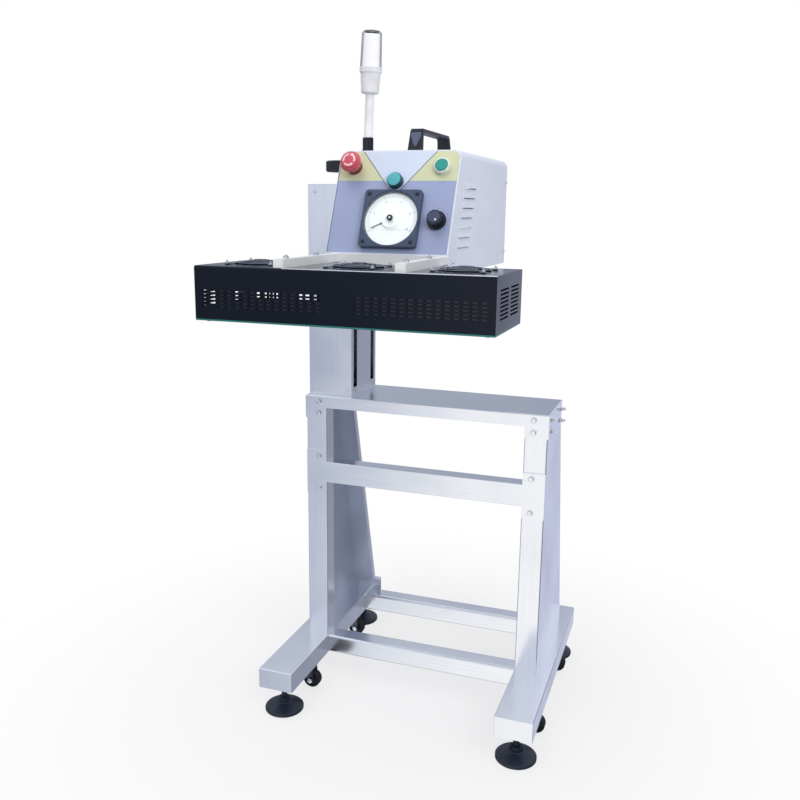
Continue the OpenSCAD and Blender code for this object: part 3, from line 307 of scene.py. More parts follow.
@dataclass(frozen=True)
class Plated(Finish):
    """Bright plated or turned metal with a little unevenness."""

    clouds: float = 160.0
    tones: Point2 = (0.85, 1.05)
    steps: Point2 = (-0.04, 0.08)

    def dress(self, graph: NodeGraph) -> None:
        """Sets up a bright metal.

        Args:
            graph: the material's node graph.
        """
        graph.set(Metallic=1.0)
        cloud = graph.cloud(self.clouds)
        self.tint(graph, cloud, self.tones)
        self.gloss(graph, cloud, self.steps)


@dataclass(frozen=True)
class SatinPaint(Finish):
    """Sprayed paint with a fine orange peel."""

    shine: float = 0.5
    clouds: float = 11.0
    peel: float = 700.0
    tones: Point2 = (0.97, 1.02)
    steps: Point2 = (-0.03, 0.04)
    depth: float = 0.03 * MM
    strength: float = 0.25

    def dress(self, graph: NodeGraph) -> None:
        """Sets up sprayed paint.

        Args:
            graph: the material's node graph.
        """
        graph.set(Specular_IOR_Level=self.shine)
        cloud = graph.cloud(self.clouds)
        self.tint(graph, cloud, self.tones)
        self.gloss(graph, cloud, self.steps)
        graph.bump(graph.cloud(self.peel, detail=1.0), self.depth, self.strength)


@dataclass(frozen=True)
class Moulded(Finish):
    """Moulded plastic or rubber with a fine grain."""

    shine: float = 0.5
    clouds: float = 40.0
    grains: float = 1600.0
    tones: Point2 = (0.92, 1.06)
    steps: Point2 = (-0.05, 0.05)
    depth: float = 0.04 * MM
    strength: float = 0.4

    def dress(self, graph: NodeGraph) -> None:
        """Sets up grained plastic.

        Args:
            graph: the material's node graph.
        """
        graph.set(Specular_IOR_Level=self.shine)
        grain = graph.cloud(self.grains, detail=2.0)
        self.tint(graph, graph.cloud(self.clouds), self.tones)
        self.gloss(graph, grain, self.steps)
        graph.bump(grain, self.depth, self.strength)


@dataclass(frozen=True)
class Lens(Finish):
    """Tinted translucent plastic with a gloss skin."""

    glow: float = 0.0
    coat: float = 0.6
    coat_roughness: float = 0.08
    clouds: float = 120.0
    tones: Point2 = (0.97, 1.03)
    steps: Point2 = (-0.03, 0.05)

    def dress(self, graph: NodeGraph) -> None:
        """Sets up a coloured lens.

        Args:
            graph: the material's node graph.
        """
        graph.set(Coat_Weight=self.coat, Coat_Roughness=self.coat_roughness,
                  Emission_Color=(*self.colour, 1), Emission_Strength=self.glow)
        cloud = graph.cloud(self.clouds, detail=2.0)
        self.tint(graph, cloud, self.tones)
        self.gloss(graph, cloud, self.steps)


@dataclass(frozen=True)
class Clear(Finish):
    """Clear plastic: see-through face on, denser where the wall is seen edge on."""

    face: float = 0.1
    edge: float = 0.2
    haze: float = 90.0
    steps: Point2 = (0.0, 0.03)
    turn_span: Point2 = (0.5, 0.85)

    def dress(self, graph: NodeGraph) -> None:
        """Sets up clear plastic.

        Args:
            graph: the material's node graph.
        """
        graph.set(Base_Color=(*self.colour, 1))
        self.gloss(graph, graph.cloud(self.haze, detail=2.0), self.steps)
        weight = graph.nodes.new("ShaderNodeLayerWeight")
        alpha = graph.mapped(weight.outputs["Facing"], self.turn_span, self.face, self.edge)
        graph.feed(alpha, "Alpha")


STEEL_TINT = srgb(250, 251, 254)
STEEL_X = BrushedSteel("steel_brushed_along_x", STEEL_TINT, 0.2, Grain.X)
STEEL_Y = BrushedSteel("steel_brushed_along_y", STEEL_TINT, 0.2, Grain.Y)
STEEL_Z = BrushedSteel("steel_brushed_along_z", STEEL_TINT, 0.2, Grain.Z)
# Darker, rougher copy of the steel for the side frames' inner web faces: its darker colour is
# painted shade
STEEL_INSIDE_SHADED = BrushedSteel("steel_inside_painted_shade", srgb(230, 235, 248), 0.5, Grain.Z)
DARK_STEEL = Plated("machined_steel", srgb(104, 108, 118), 0.38)
BOLT_ZINC = Plated("zinc_plate", srgb(246, 247, 250), 0.15)
WIRE_PLATE = Plated("plated_wire", srgb(132, 137, 148), 0.2)
BOX_PAINT = SatinPaint("box_paint", srgb(228, 234, 247), 0.4)
# Near-white for the strip along the panel film's right edge: a painted highlight on the sheet edge
EDGE_HIGHLIGHT = SatinPaint("edge_painted_highlight", srgb(240, 242, 248), 0.4)
ARM_PAINT = SatinPaint("arm_paint", srgb(238, 239, 240), 0.45)
HEAD_BLACK = SatinPaint("head_black", srgb(19, 25, 37), 0.13, 0.15)
# A dark sheet that glows faintly though it is no lamp: painted light behind the head's front vents
HEAD_GLOW_SHEET = Lens("head_glow_sheet", srgb(17, 20, 28), 0.6, 0.5)
PLATE_GREEN = SatinPaint("green_laminate", srgb(38, 118, 112), 0.3)
BLACK_PLASTIC = Moulded("black_moulded", srgb(26, 29, 36), 0.42)
FAN_PLASTIC = Moulded("fan_moulded", srgb(22, 24, 29), 0.5, 0.35)
PAD_PLASTIC = Moulded("pad_moulded", srgb(28, 37, 52), 0.4)
WHEEL_RUBBER = Moulded("wheel_rubber", srgb(30, 31, 36), 0.55, 0.35)
SLATE = Moulded("meter_slate", srgb(66, 79, 104), 0.4)
# Lighter slate for patches on the handle's black legs: painted light on recessed facets
HANDLE_LIT_FACET = Moulded("handle_lit_facet", srgb(84, 93, 116), 0.4)
# The dial's white glows faintly though the meter has no lamp: painted light under the window
DIAL_WHITE_GLOWING = Lens("dial_white", srgb(246, 251, 251), 0.45, 0.16)
DIAL_INK = SatinPaint("dial_ink", srgb(150, 158, 170), 0.6)
NEEDLE_INK = SatinPaint("needle_black", srgb(58, 62, 70), 0.45)
FILM_BLUE = SatinPaint("film_blue", srgb(160, 171, 205), 0.42, 0.35)
FILM_YELLOW = SatinPaint("film_yellow", srgb(212, 215, 177), 0.42, 0.35)
FILM_PALE = SatinPaint("film_pale", srgb(212, 223, 242), 0.42, 0.35)
FILM_LINE = SatinPaint("film_line", srgb(84, 92, 112), 0.5, 0.35)
BUTTON_GREEN = Lens("button_green", srgb(20, 148, 138), 0.25)
LAMP_GREEN = Lens("lamp_green", srgb(72, 170, 178), 0.2, 0.08)
BEZEL_DARK = Moulded("bezel_dark", srgb(28, 66, 84), 0.3)
BEZEL_WHITE = Moulded("bezel_white", srgb(232, 240, 232), 0.35)
STOP_RED = Lens("stop_red", srgb(206, 78, 92), 0.3)
# A darker red than the stop head, for the collar beneath it: painted shade under the mushroom
STOP_RED_SHADED = Moulded("stop_red_painted_shade", srgb(132, 60, 62), 0.4)
STOP_MARK = SatinPaint("stop_mark", srgb(248, 206, 214), 0.4)
KNOB_BLACK = Moulded("knob_black", srgb(34, 37, 48), 0.36)
KNOB_CAP = Plated("knob_cap", srgb(96, 104, 124), 0.3)
POLE_WHITE = Moulded("pole_white", srgb(250, 250, 252), 0.22)
BEACON_WHITE = Moulded("beacon_white", srgb(240, 240, 243), 0.35)
BEACON_GLOW = Lens("beacon_glow", srgb(246, 246, 250), 0.4, 0.3)
BEACON_LENS = Clear("beacon_lens", srgb(44, 46, 58), 0.06, 0.03, 0.95)
WINDOW = Clear("meter_window", srgb(240, 244, 248), 0.03, 0.04, 0.25)
COIL_LACQUER = Plated("coil_lacquer", srgb(54, 42, 40), 0.4)


class Shape:
    """A mesh under construction, made with the modelling operators."""

    def __init__(self) -> None:
        """Starts with an empty mesh."""
        self.bm = bmesh.new()

    @classmethod
    def of_node(cls, node: str, flat_angle: float = 0.5) -> Shape:
        """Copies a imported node, with its doubles merged and its flat faces joined.

        Args:
            node: the node's name.
            flat_angle: how far faces may differ and still be joined, in degrees.

        Returns:
            The copy.
        """
        shape = cls()
        shape.bm.from_mesh(bpy.data.objects[node].data)
        bmesh.ops.remove_doubles(shape.bm, verts=shape.bm.verts, dist=NODE_SEAM)
        bmesh.ops.dissolve_limit(shape.bm, angle_limit=math.radians(flat_angle),
                                 verts=shape.bm.verts, edges=shape.bm.edges)
        return shape

    @classmethod
    def turned(cls, profile: Sequence[Point2], steps: int = 48, closed: bool = False) -> Shape:
        """Spins a profile about Z.

        Args:
            profile: points as radius and height.
            steps: facets round the axis.
            closed: whether the profile's last point joins its first.

        Returns:
            The turned shape.
        """
        shape = cls()
        verts = [shape.bm.verts.new((radius, 0, height)) for radius, height in profile]
        pairs = list(zip(verts, verts[1:]))
        if closed:
            pairs.append((verts[-1], verts[0]))
        edges = [shape.bm.edges.new(pair) for pair in pairs]
        bmesh.ops.spin(shape.bm, geom=verts + edges, cent=(0, 0, 0), axis=(0, 0, 1), dvec=(0, 0, 0),
                       angle=math.tau, steps=steps, use_merge=True, use_duplicate=False)
        bmesh.ops.remove_doubles(shape.bm, verts=shape.bm.verts, dist=SHAPE_SEAM)
        return shape.outward()

    @classmethod
    def swept(cls, profile: Sequence[Point2], sweep: float, steps: int = 16) -> Shape:
        """Spins a closed profile part of the way about Z and closes its two ends.

        Args:
            profile: points as radius and height.
            sweep: the angle in degrees.
            steps: facets along the sweep.

        Returns:
            The swept shape.
        """
        shape = cls()
        verts = [shape.bm.verts.new((radius, 0, height)) for radius, height in profile]
        edges = [shape.bm.edges.new(pair) for pair in zip(verts, verts[1:] + verts[:1])]
        bmesh.ops.spin(shape.bm, geom=verts + edges, cent=(0, 0, 0), axis=(0, 0, 1), dvec=(0, 0, 0),
                       angle=math.radians(sweep), steps=steps, use_merge=False, use_duplicate=False)
        bmesh.ops.holes_fill(shape.bm, edges=shape.bm.edges)
        return shape.outward()

    @classmethod
    def ring(cls, radius: float, wire: float, height: float, steps: int, sides: int = 8) -> Shape:
        """Makes a round wire ring about Z.

        Args:
            radius: the ring's radius at the wire's middle.
            wire: the wire's diameter.
            height: the height of the wire's middle.
            steps: facets round the ring.
            sides: facets round the wire.

        Returns:
            The ring.
        """
        half = wire / 2
        turns = [math.tau * i / sides for i in range(sides)]
        profile = [(radius + half * math.cos(turn), height + half * math.sin(turn))
                   for turn in turns]
        return cls.turned(profile, steps, closed=True)

    @classmethod
    def prism(cls, outline: Sequence[Point2], depth: float) -> Shape:
        """Extrudes a flat outline along Z.

        Args:
            outline: corners in X and Y.
            depth: the prism's height.

        Returns:
            The prism, standing on Z = 0.
        """
        shape = cls()
        face = shape.bm.faces.new([shape.bm.verts.new((x, y, 0)) for x, y in outline])
        grown = bmesh.ops.extrude_face_region(shape.bm, geom=[face])
        moved = [item for item in grown["geom"] if isinstance(item, bmesh.types.BMVert)]
        bmesh.ops.translate(shape.bm, verts=moved, vec=(0, 0, depth))
        return shape.outward()

    @classmethod
    def cylinder(cls, radius: float, depth: float, sides: int) -> Shape:
        """Makes a cylinder on Z = 0.

        Args:
            radius: its radius.
            depth: its height.
            sides: facets round it.

        Returns:
            The cylinder.
        """
        shape = cls()
        bmesh.ops.create_cone(shape.bm, cap_ends=True, segments=sides, radius1=radius,
                              radius2=radius, depth=depth,
                              matrix=Matrix.Translation((0, 0, depth / 2)))
        return shape

    @classmethod
    def box(cls, low: Sequence[float], high: Sequence[float]) -> Shape:
        """Makes a block between two corners.

        Args:
            low: the lowest corner.
            high: the highest corner.

        Returns:
            The block.
        """
        shape = cls()
        low, high = Vector(low), Vector(high)
        place = Matrix.Translation((low + high) / 2) @ Matrix.Diagonal((*(high - low), 1))
        bmesh.ops.create_cube(shape.bm, size=1.0, matrix=place)
        return shape

    @classmethod
    def lettering(cls, words: str, height: float, depth: float) -> Shape:
        """Makes flat centred numbers.

        Args:
            words: the digits.
            height: the type size.
            depth: the ink's thickness.

        Returns:
            The numbers, standing on Z = 0.
        """
        curve = bpy.data.curves.new("digits", "FONT")
        curve.body = words
        curve.size = height
        curve.extrude = depth / 2
        curve.align_x = "CENTER"
        curve.align_y = "CENTER"
        holder = bpy.data.objects.new("digits", curve)
        mesh = bpy.data.meshes.new_from_object(holder)
        shape = cls()
        shape.bm.from_mesh(mesh)
        bmesh.ops.remove_doubles(shape.bm, verts=shape.bm.verts, dist=SHAPE_SEAM)
        bpy.data.objects.remove(holder)
        bpy.data.curves.remove(curve)
        bpy.data.meshes.remove(mesh)
        return shape.moved(Matrix.Translation((0, 0, depth / 2)))

    def outward(self) -> Shape:
        """Turns all faces outwards."""
        bmesh.ops.recalc_face_normals(self.bm, faces=self.bm.faces)
        return self

    def moved(self, matrix: Matrix) -> Shape:
        """Moves the whole shape by a matrix."""
        bmesh.ops.transform(self.bm, matrix=matrix, verts=self.bm.verts)
        return self

    def bevelled(self, width: float, segments: int = 2, longer: float = 0.0) -> Shape:
        """Rounds the sharp edges.

        Args:
            width: the rounding's width.
            segments: facets across it.
            longer: only edges longer than this are rounded.

        Returns:
            The shape itself.
        """
        limit = math.radians(SHARP_ANGLE)
        edges = [edge for edge in self.bm.edges if len(edge.link_faces) == 2
                 and edge.calc_face_angle(0.0) > limit and edge.calc_length() > longer]
        bmesh.ops.bevel(self.bm, geom=edges, offset=width, offset_type="OFFSET", affect="EDGES",
                        segments=segments, profile=0.5, material=-1, clamp_overlap=True)
        return self

    def join(self, other: Shape) -> Shape:
        """Adds another shape's mesh to this one.

        Args:
            other: the shape to add, which is used up.

        Returns:
            This shape.
        """
        spare = bpy.data.meshes.new("spare")
        other.bm.to_mesh(spare)
        self.bm.from_mesh(spare)
        bpy.data.meshes.remove(spare)
        other.bm.free()
        return self

    def piece(self, name: str, finish: Finish, body: str, slot: str,
              replaces: Iterable[str] = (), smooth: float = SMOOTH_ANGLE) -> bpy.types.Object:
        """Makes the finished object and sets it on its body.

        Args:
            name: the piece's name.
            finish: its finish.
            body: the body that it rides on.
            slot: the record's material slot; not used.
            replaces: nodes that it stands for.
            smooth: edges that turn by less than this shade smoothly, in degrees.

        Returns:
            The object.
        """
        limit = math.radians(smooth)
        for face in self.bm.faces:
            face.smooth = True
        for edge in self.bm.edges:
            edge.smooth = len(edge.link_faces) == 2 and edge.calc_face_angle(0.0) < limit
        mesh = bpy.data.meshes.new(name)
        self.bm.to_mesh(mesh)
        self.bm.free()
        mesh.materials.append(finish.material())
        piece = bpy.data.objects.new(name, mesh)
        bpy.context.scene.collection.objects.link(piece)
        weighted = piece.modifiers.new("weighted", "WEIGHTED_NORMAL")
        weighted.keep_sharp = True
        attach(piece, str(body.value if isinstance(body, Body) else body))
        nodes = list(replaces)
        if nodes:
            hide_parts(*nodes)
        LOG.info("%s: %d faces", name, len(mesh.polygons))
        return piece


def in_mm(profile: Sequence[Point2]) -> list[Point2]:
    """Returns a profile that is given in millimetres in metres."""
    return [(radius * MM, height * MM) for radius, height in profile]


def dress_node(node: str, finish: Finish) -> None:
    """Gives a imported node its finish.

    Args:
        node: the node's name.
        finish: its finish.
    """
    mesh = bpy.data.objects[node].data
    mesh.materials.clear()
    mesh.materials.append(finish.material())


def eased(node: str, finish: Finish, body: str, slot: str, width: float, segments: int = 2,
          longer: float = 0.0, smooth: float = SMOOTH_ANGLE) -> bpy.types.Object:
    """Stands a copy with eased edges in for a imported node.

    Args:
        node: the node's name.
        finish: its finish.
        body: the body that carries it.
        slot: the record's material slot.
        width: how far the edges are eased.
        segments: facets across an edge.
        longer: only edges longer than this are eased.
        smooth: edges that turn by less than this shade smoothly, in degrees; 0 keeps sheets flat.

    Returns:
        The new piece.
    """
    shape = Shape.of_node(node).bevelled(width, segments, longer=longer)
    return shape.piece(f"{node}_eased", finish, body, slot, [node], smooth)


@dataclass(frozen=True)
class HexBolt:
    """A hexagon head with a chamfer on a washer, along Z."""

    head: float = 10 * MM
    height: float = 4 * MM
    washer: float = 14 * MM
    washer_t: float = 1.0 * MM
    stud: float = 0.0
    stud_d: float = 6 * MM
    corners: float = 1.1
    washer_edge: float = 0.2 * MM
    head_edge: float = 1.0 * MM
    stud_edge: float = 0.7 * MM

    def shape(self) -> Shape:
        """Makes the bolt.

        Returns:
            The bolt, with its seat at Z = 0.
        """
        made = Shape.cylinder(self.washer / 2, self.washer_t, sides=28).bevelled(self.washer_edge)
        head = Shape.cylinder(self.head / 2 * self.corners, self.height, sides=6)
        head.bevelled(self.head_edge)
        made.join(head.moved(Matrix.Translation((0, 0, self.washer_t))))
        if self.stud:
            end = Shape.cylinder(self.stud_d / 2, self.stud, sides=20).bevelled(self.stud_edge)
            made.join(end.moved(Matrix.Translation((0, 0, self.washer_t + self.height))))
        return made


@dataclass(frozen=True)
class PanScrew:
    """A pan-head screw with a recess, along Z; its profile is in shares of radius and height."""

    head: float = 7 * MM
    height: float = 2.2 * MM
    profile: tuple[Point2, ...] = ((1, 0), (1, 0.4), (0.85, 0.8), (0.5, 1), (0.32, 1),
                                   (0.28, 0.45), (0, 0.4))

    def shape(self) -> Shape:
        """Returns the screw's head, with its seat at Z = 0."""
        points = [(self.head / 2 * r, self.height * h) for r, h in self.profile]
        return Shape.turned(points, steps=20)


def facing(point: Sequence[float], direction: Sequence[float]) -> Matrix:
    """Returns a matrix that carries the origin to a point and +Z to a direction."""
    turn = Vector(direction).to_track_quat("Z", "Y").to_matrix().to_4x4()
    return Matrix.Translation(Vector(point)) @ turn


@dataclass
class Stand:
    """Folded side frames, foot beams, tubes, shelf, mid rail and their bolts."""

    edge: float = 0.5 * MM
    slot: str = "stainless"
    front_bolt_in: float = 17.1 * MM
    bolt_edge: float = 12 * MM
    bolt_half: float = 5.5 * MM
    side_bolt_in: float = 24 * MM
    side_stud: float = 7 * MM
    web_depth: float = 5 * MM

    def build(self) -> None:
        """Makes the sheet pieces and the bolts."""
        for side in ("left", "right"):
            frame = self.sheet(f"{side}_side_frame", STEEL_Z)
            self.shade_web_inside(frame)
            self.sheet(f"{side}_foot_beam", STEEL_Y)
        for node in ("front_cross_tube", "rear_cross_tube", "shelf", "mid_rail"):
            self.sheet(node, STEEL_X)
        self.bolts()

    def sheet(self, node: str, finish: Finish) -> bpy.types.Object:
        """Returns a sheet piece with eased edges and flat faces."""
        return eased(node, finish, Body.STAND, self.slot, self.edge, smooth=0)

    def shade_web_inside(self, frame: bpy.types.Object) -> None:
        """Gives a side frame's inner web face rougher steel, darker as painted shade.

        Args:
            frame: the side frame's piece.
        """
        frame.data.materials.append(STEEL_INSIDE_SHADED.material())
        outer = max(abs(vert.co.x) for vert in frame.data.vertices)
        for face in frame.data.polygons:
            inward = face.normal.x * face.center.x < -FLAT * abs(face.center.x)
            if inward and abs(face.center.x) > outer - self.web_depth:
                face.material_index = 1

    def bolts(self) -> None:
        """Makes the bolts on the posts' fronts and outer sides."""
        shelf_low, shelf_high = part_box("shelf")
        rail_low, rail_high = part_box("mid_rail")
        frame_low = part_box("right_side_frame")[0]
        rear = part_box("stand_bolts")[1].y - self.bolt_half
        heights = [shelf_high.z - self.bolt_edge, shelf_low.z + self.bolt_edge]
        rail_heights = [rail_high.z - self.bolt_edge, rail_low.z + self.bolt_edge]
        made = Shape()
        for side in (-1, 1):
            x = side * (frame_low.x + self.front_bolt_in)
            for z in heights + rail_heights:
                made.join(HexBolt().shape().moved(facing((x, shelf_low.y, z), (0, -1, 0))))
            for y in (frame_low.y + self.side_bolt_in, rear):
                for z in heights:
                    bolt = HexBolt(stud=self.side_stud).shape()
                    made.join(bolt.moved(facing((side * shelf_high.x, y, z), (side, 0, 0))))
        made.piece("stand_bolts_zinc", BOLT_ZINC, Body.STAND, "bolt_steel", ["stand_bolts"])


@dataclass
class Feet:
    """Levelling feet and swivel castors at the four corners."""

    corners: tuple[str, ...] = ("front_left", "front_right", "rear_left", "rear_right")
    round_edge: float = 0.8 * MM
    fork_edge: float = 0.4 * MM
    nut: HexBolt = HexBolt(9 * MM, 2 * MM, 11 * MM, 0.5 * MM)
    nut_set: float = 1 * MM

    def build(self) -> None:
        """Dresses the feet, forks and wheels, and puts nuts on the axles."""
        for corner in self.corners:
            eased(f"levelling_foot_{corner}", PAD_PLASTIC, f"foot_{corner}", "black_plastic",
                  self.round_edge, segments=3)
            eased(f"castor_fork_{corner}", DARK_STEEL, f"castor_{corner}", "dark_steel",
                  self.fork_edge)
            eased(f"castor_wheel_{corner}", WHEEL_RUBBER, f"wheel_{corner}", "wheel_rubber",
                  self.round_edge, segments=3)
            self.axle_nuts(corner)

    def axle_nuts(self, corner: str) -> None:
        """Makes the nuts on both ends of one castor's axle.

        Args:
            corner: the castor's corner of the stand.
        """
        low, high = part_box(f"castor_wheel_{corner}")
        fork_low, fork_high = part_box(f"castor_fork_{corner}")
        middle = (low + high) / 2
        made = Shape()
        for y, way in ((fork_low.y, -1), (fork_high.y, 1)):
            seat = (middle.x, y - way * self.nut_set, middle.z)
            made.join(self.nut.shape().moved(facing(seat, (0, way, 0))))
        made.piece(f"castor_nuts_{corner}", BOLT_ZINC, f"castor_{corner}", "bolt_steel")


@dataclass
class Column:
    """Slotted column with its cover, cap, screws, lift parts and handwheel."""

    edge: float = 0.6 * MM
    wheel_edge: float = 1.2 * MM
    screw_left: float = 16 * MM
    screw_right: float = 10 * MM
    screw_up: float = 13 * MM
    side_screws: tuple[float, ...] = (0.0795, 0.119)
    slot_half: float = 48.5 * MM
    tab_w: float = 17 * MM
    tab_low: float = 2 * MM
    tab_high: float = 16.5 * MM
    tab_t: float = 0.8 * MM
    tab_edge: float = 0.3 * MM

    def build(self) -> None:
        """Makes the column's pieces, tabs and screws."""
        for node in ("column_shell", "column_cover"):
            eased(node, STEEL_Z, Body.STAND, "stainless", self.edge, smooth=0)
        eased("column_cap", STEEL_X, Body.STAND, "stainless", self.edge, smooth=0)
        dress_node("guide_rods", STEEL_Z)
        dress_node("rod_base", DARK_STEEL)
        dress_node("lead_screw", DARK_STEEL)
        eased("lift_carriage", DARK_STEEL, Body.LIFT, "dark_steel", self.edge)
        eased("handwheel", BLACK_PLASTIC, Body.SCREW, "black_plastic", self.wheel_edge, segments=3)
        self.screws()
        self.tabs()

    def screws(self) -> None:
        """Makes the cover's screws and those beside the slots."""
        low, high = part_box("column_cover")
        shell_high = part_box("column_shell")[1]
        made = Shape()
        for x in (low.x + self.screw_left, high.x - self.screw_right):
            for z in (low.z + self.screw_up, high.z - self.screw_up):
                made.join(PanScrew().shape().moved(facing((x, low.y, z), (0, -1, 0))))
        for y in self.side_screws:
            place = facing((shell_high.x, y, low.z + self.screw_up), (1, 0, 0))
            made.join(PanScrew().shape().moved(place))
        made.piece("column_screws", BOLT_ZINC, Body.STAND, "bolt_steel")

    def tabs(self) -> None:
        """Makes the plain tabs that close the slots' lower ends."""
        low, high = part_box("column_shell")
        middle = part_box("lead_screw")
        centre_y = (middle[0].y + middle[1].y) / 2
        made = Shape()
        for side in (-1, 1):
            y = centre_y + side * self.slot_half
            tab = Shape.box((high.x, y - self.tab_w / 2, low.z + self.tab_low),
                            (high.x + self.tab_t, y + self.tab_w / 2, low.z + self.tab_high))
            made.join(tab.bevelled(self.tab_edge))
        made.piece("slot_tabs", BOLT_ZINC, Body.STAND, "bolt_steel")


@dataclass
class ControlBox:
    """Louvred cover, chassis, side screws, gland, inverter and carry handle."""

    edge: float = 0.5 * MM
    long_edge: float = 20 * MM
    side_screws: tuple[Point2, ...] = ((0.321, 1.090), (0.320, 0.942), (-0.088, 0.937))
    screw_head: float = 6 * MM
    handle_edge: float = 1.6 * MM
    handle_slant: float = 11 * MM
    handle_chamfer: float = 5 * MM
    facet_half: float = 10 * MM
    facet_t: float = 0.4 * MM
    facet_tip: Point2 = (2.5 * MM, 2 * MM)
    facet_shares: tuple[float, float, float] = (0.28, 0.75, 0.94)

    def build(self) -> None:
        """Makes the box's pieces."""
        eased("box_cover", BOX_PAINT, Body.LIFT, "cover_paint", self.edge)
        eased("box_chassis", BOX_PAINT, Body.LIFT, "cover_paint", self.edge,
              longer=self.long_edge, smooth=0)
        dress_node("inverter_module", DARK_STEEL)
        eased("cable_gland", BLACK_PLASTIC, Body.LIFT, "black_plastic", self.edge)
        low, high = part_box("box_cover")
        made = Shape()
        for y, z in self.side_screws:
            for x, way in ((high.x, 1), (low.x, -1)):
                screw = PanScrew(self.screw_head).shape()
                made.join(screw.moved(facing((x, y, z), (way, 0, 0))))
        made.piece("box_screws", BOLT_ZINC, Body.LIFT, "bolt_steel")
        self.handle()

    def handle(self) -> None:
        """Makes the carry handle, with pale patches on its legs' outer faces: painted light on
        recessed facets.
        """
        eased("carry_handle", BLACK_PLASTIC, Body.LIFT, "black_plastic", self.handle_edge,
              segments=3)
        low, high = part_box("carry_handle")
        rise = high.z - low.z - self.handle_chamfer
        outline = self.facet_outline(math.hypot(rise, self.handle_slant))
        middle = (low.x + high.x) / 2
        made = Shape()
        for y, way in ((low.y, 1), (high.y, -1)):
            up = Vector((0, way * self.handle_slant, rise)).normalized()
            side = Vector((way, 0, 0))
            turn = Matrix((side, up, side.cross(up))).transposed().to_4x4()
            inset = Shape.prism(outline, 2 * self.facet_t)
            inset.moved(Matrix.Translation((0, 0, -self.facet_t)))
            made.join(inset.moved(Matrix.Translation((middle, y, low.z)) @ turn))
        made.piece("handle_lit_facets", HANDLE_LIT_FACET, Body.LIFT, "black_plastic")

    def facet_outline(self, length: float) -> list[Point2]:
        """Draws a lit-facet patch that narrows to a blunt tip below.

        Args:
            length: the leg's length.

        Returns:
            The outline's points, with the leg's foot at Y = 0.
        """
        tip, shoulder, top = (share * length for share in self.facet_shares)
        half = self.facet_half
        blunt, rise = self.facet_tip
        return [(-half, top), (-half, shoulder), (-blunt, tip + rise), (0, tip),
                (blunt, tip + rise), (half, shoulder), (half, top)]


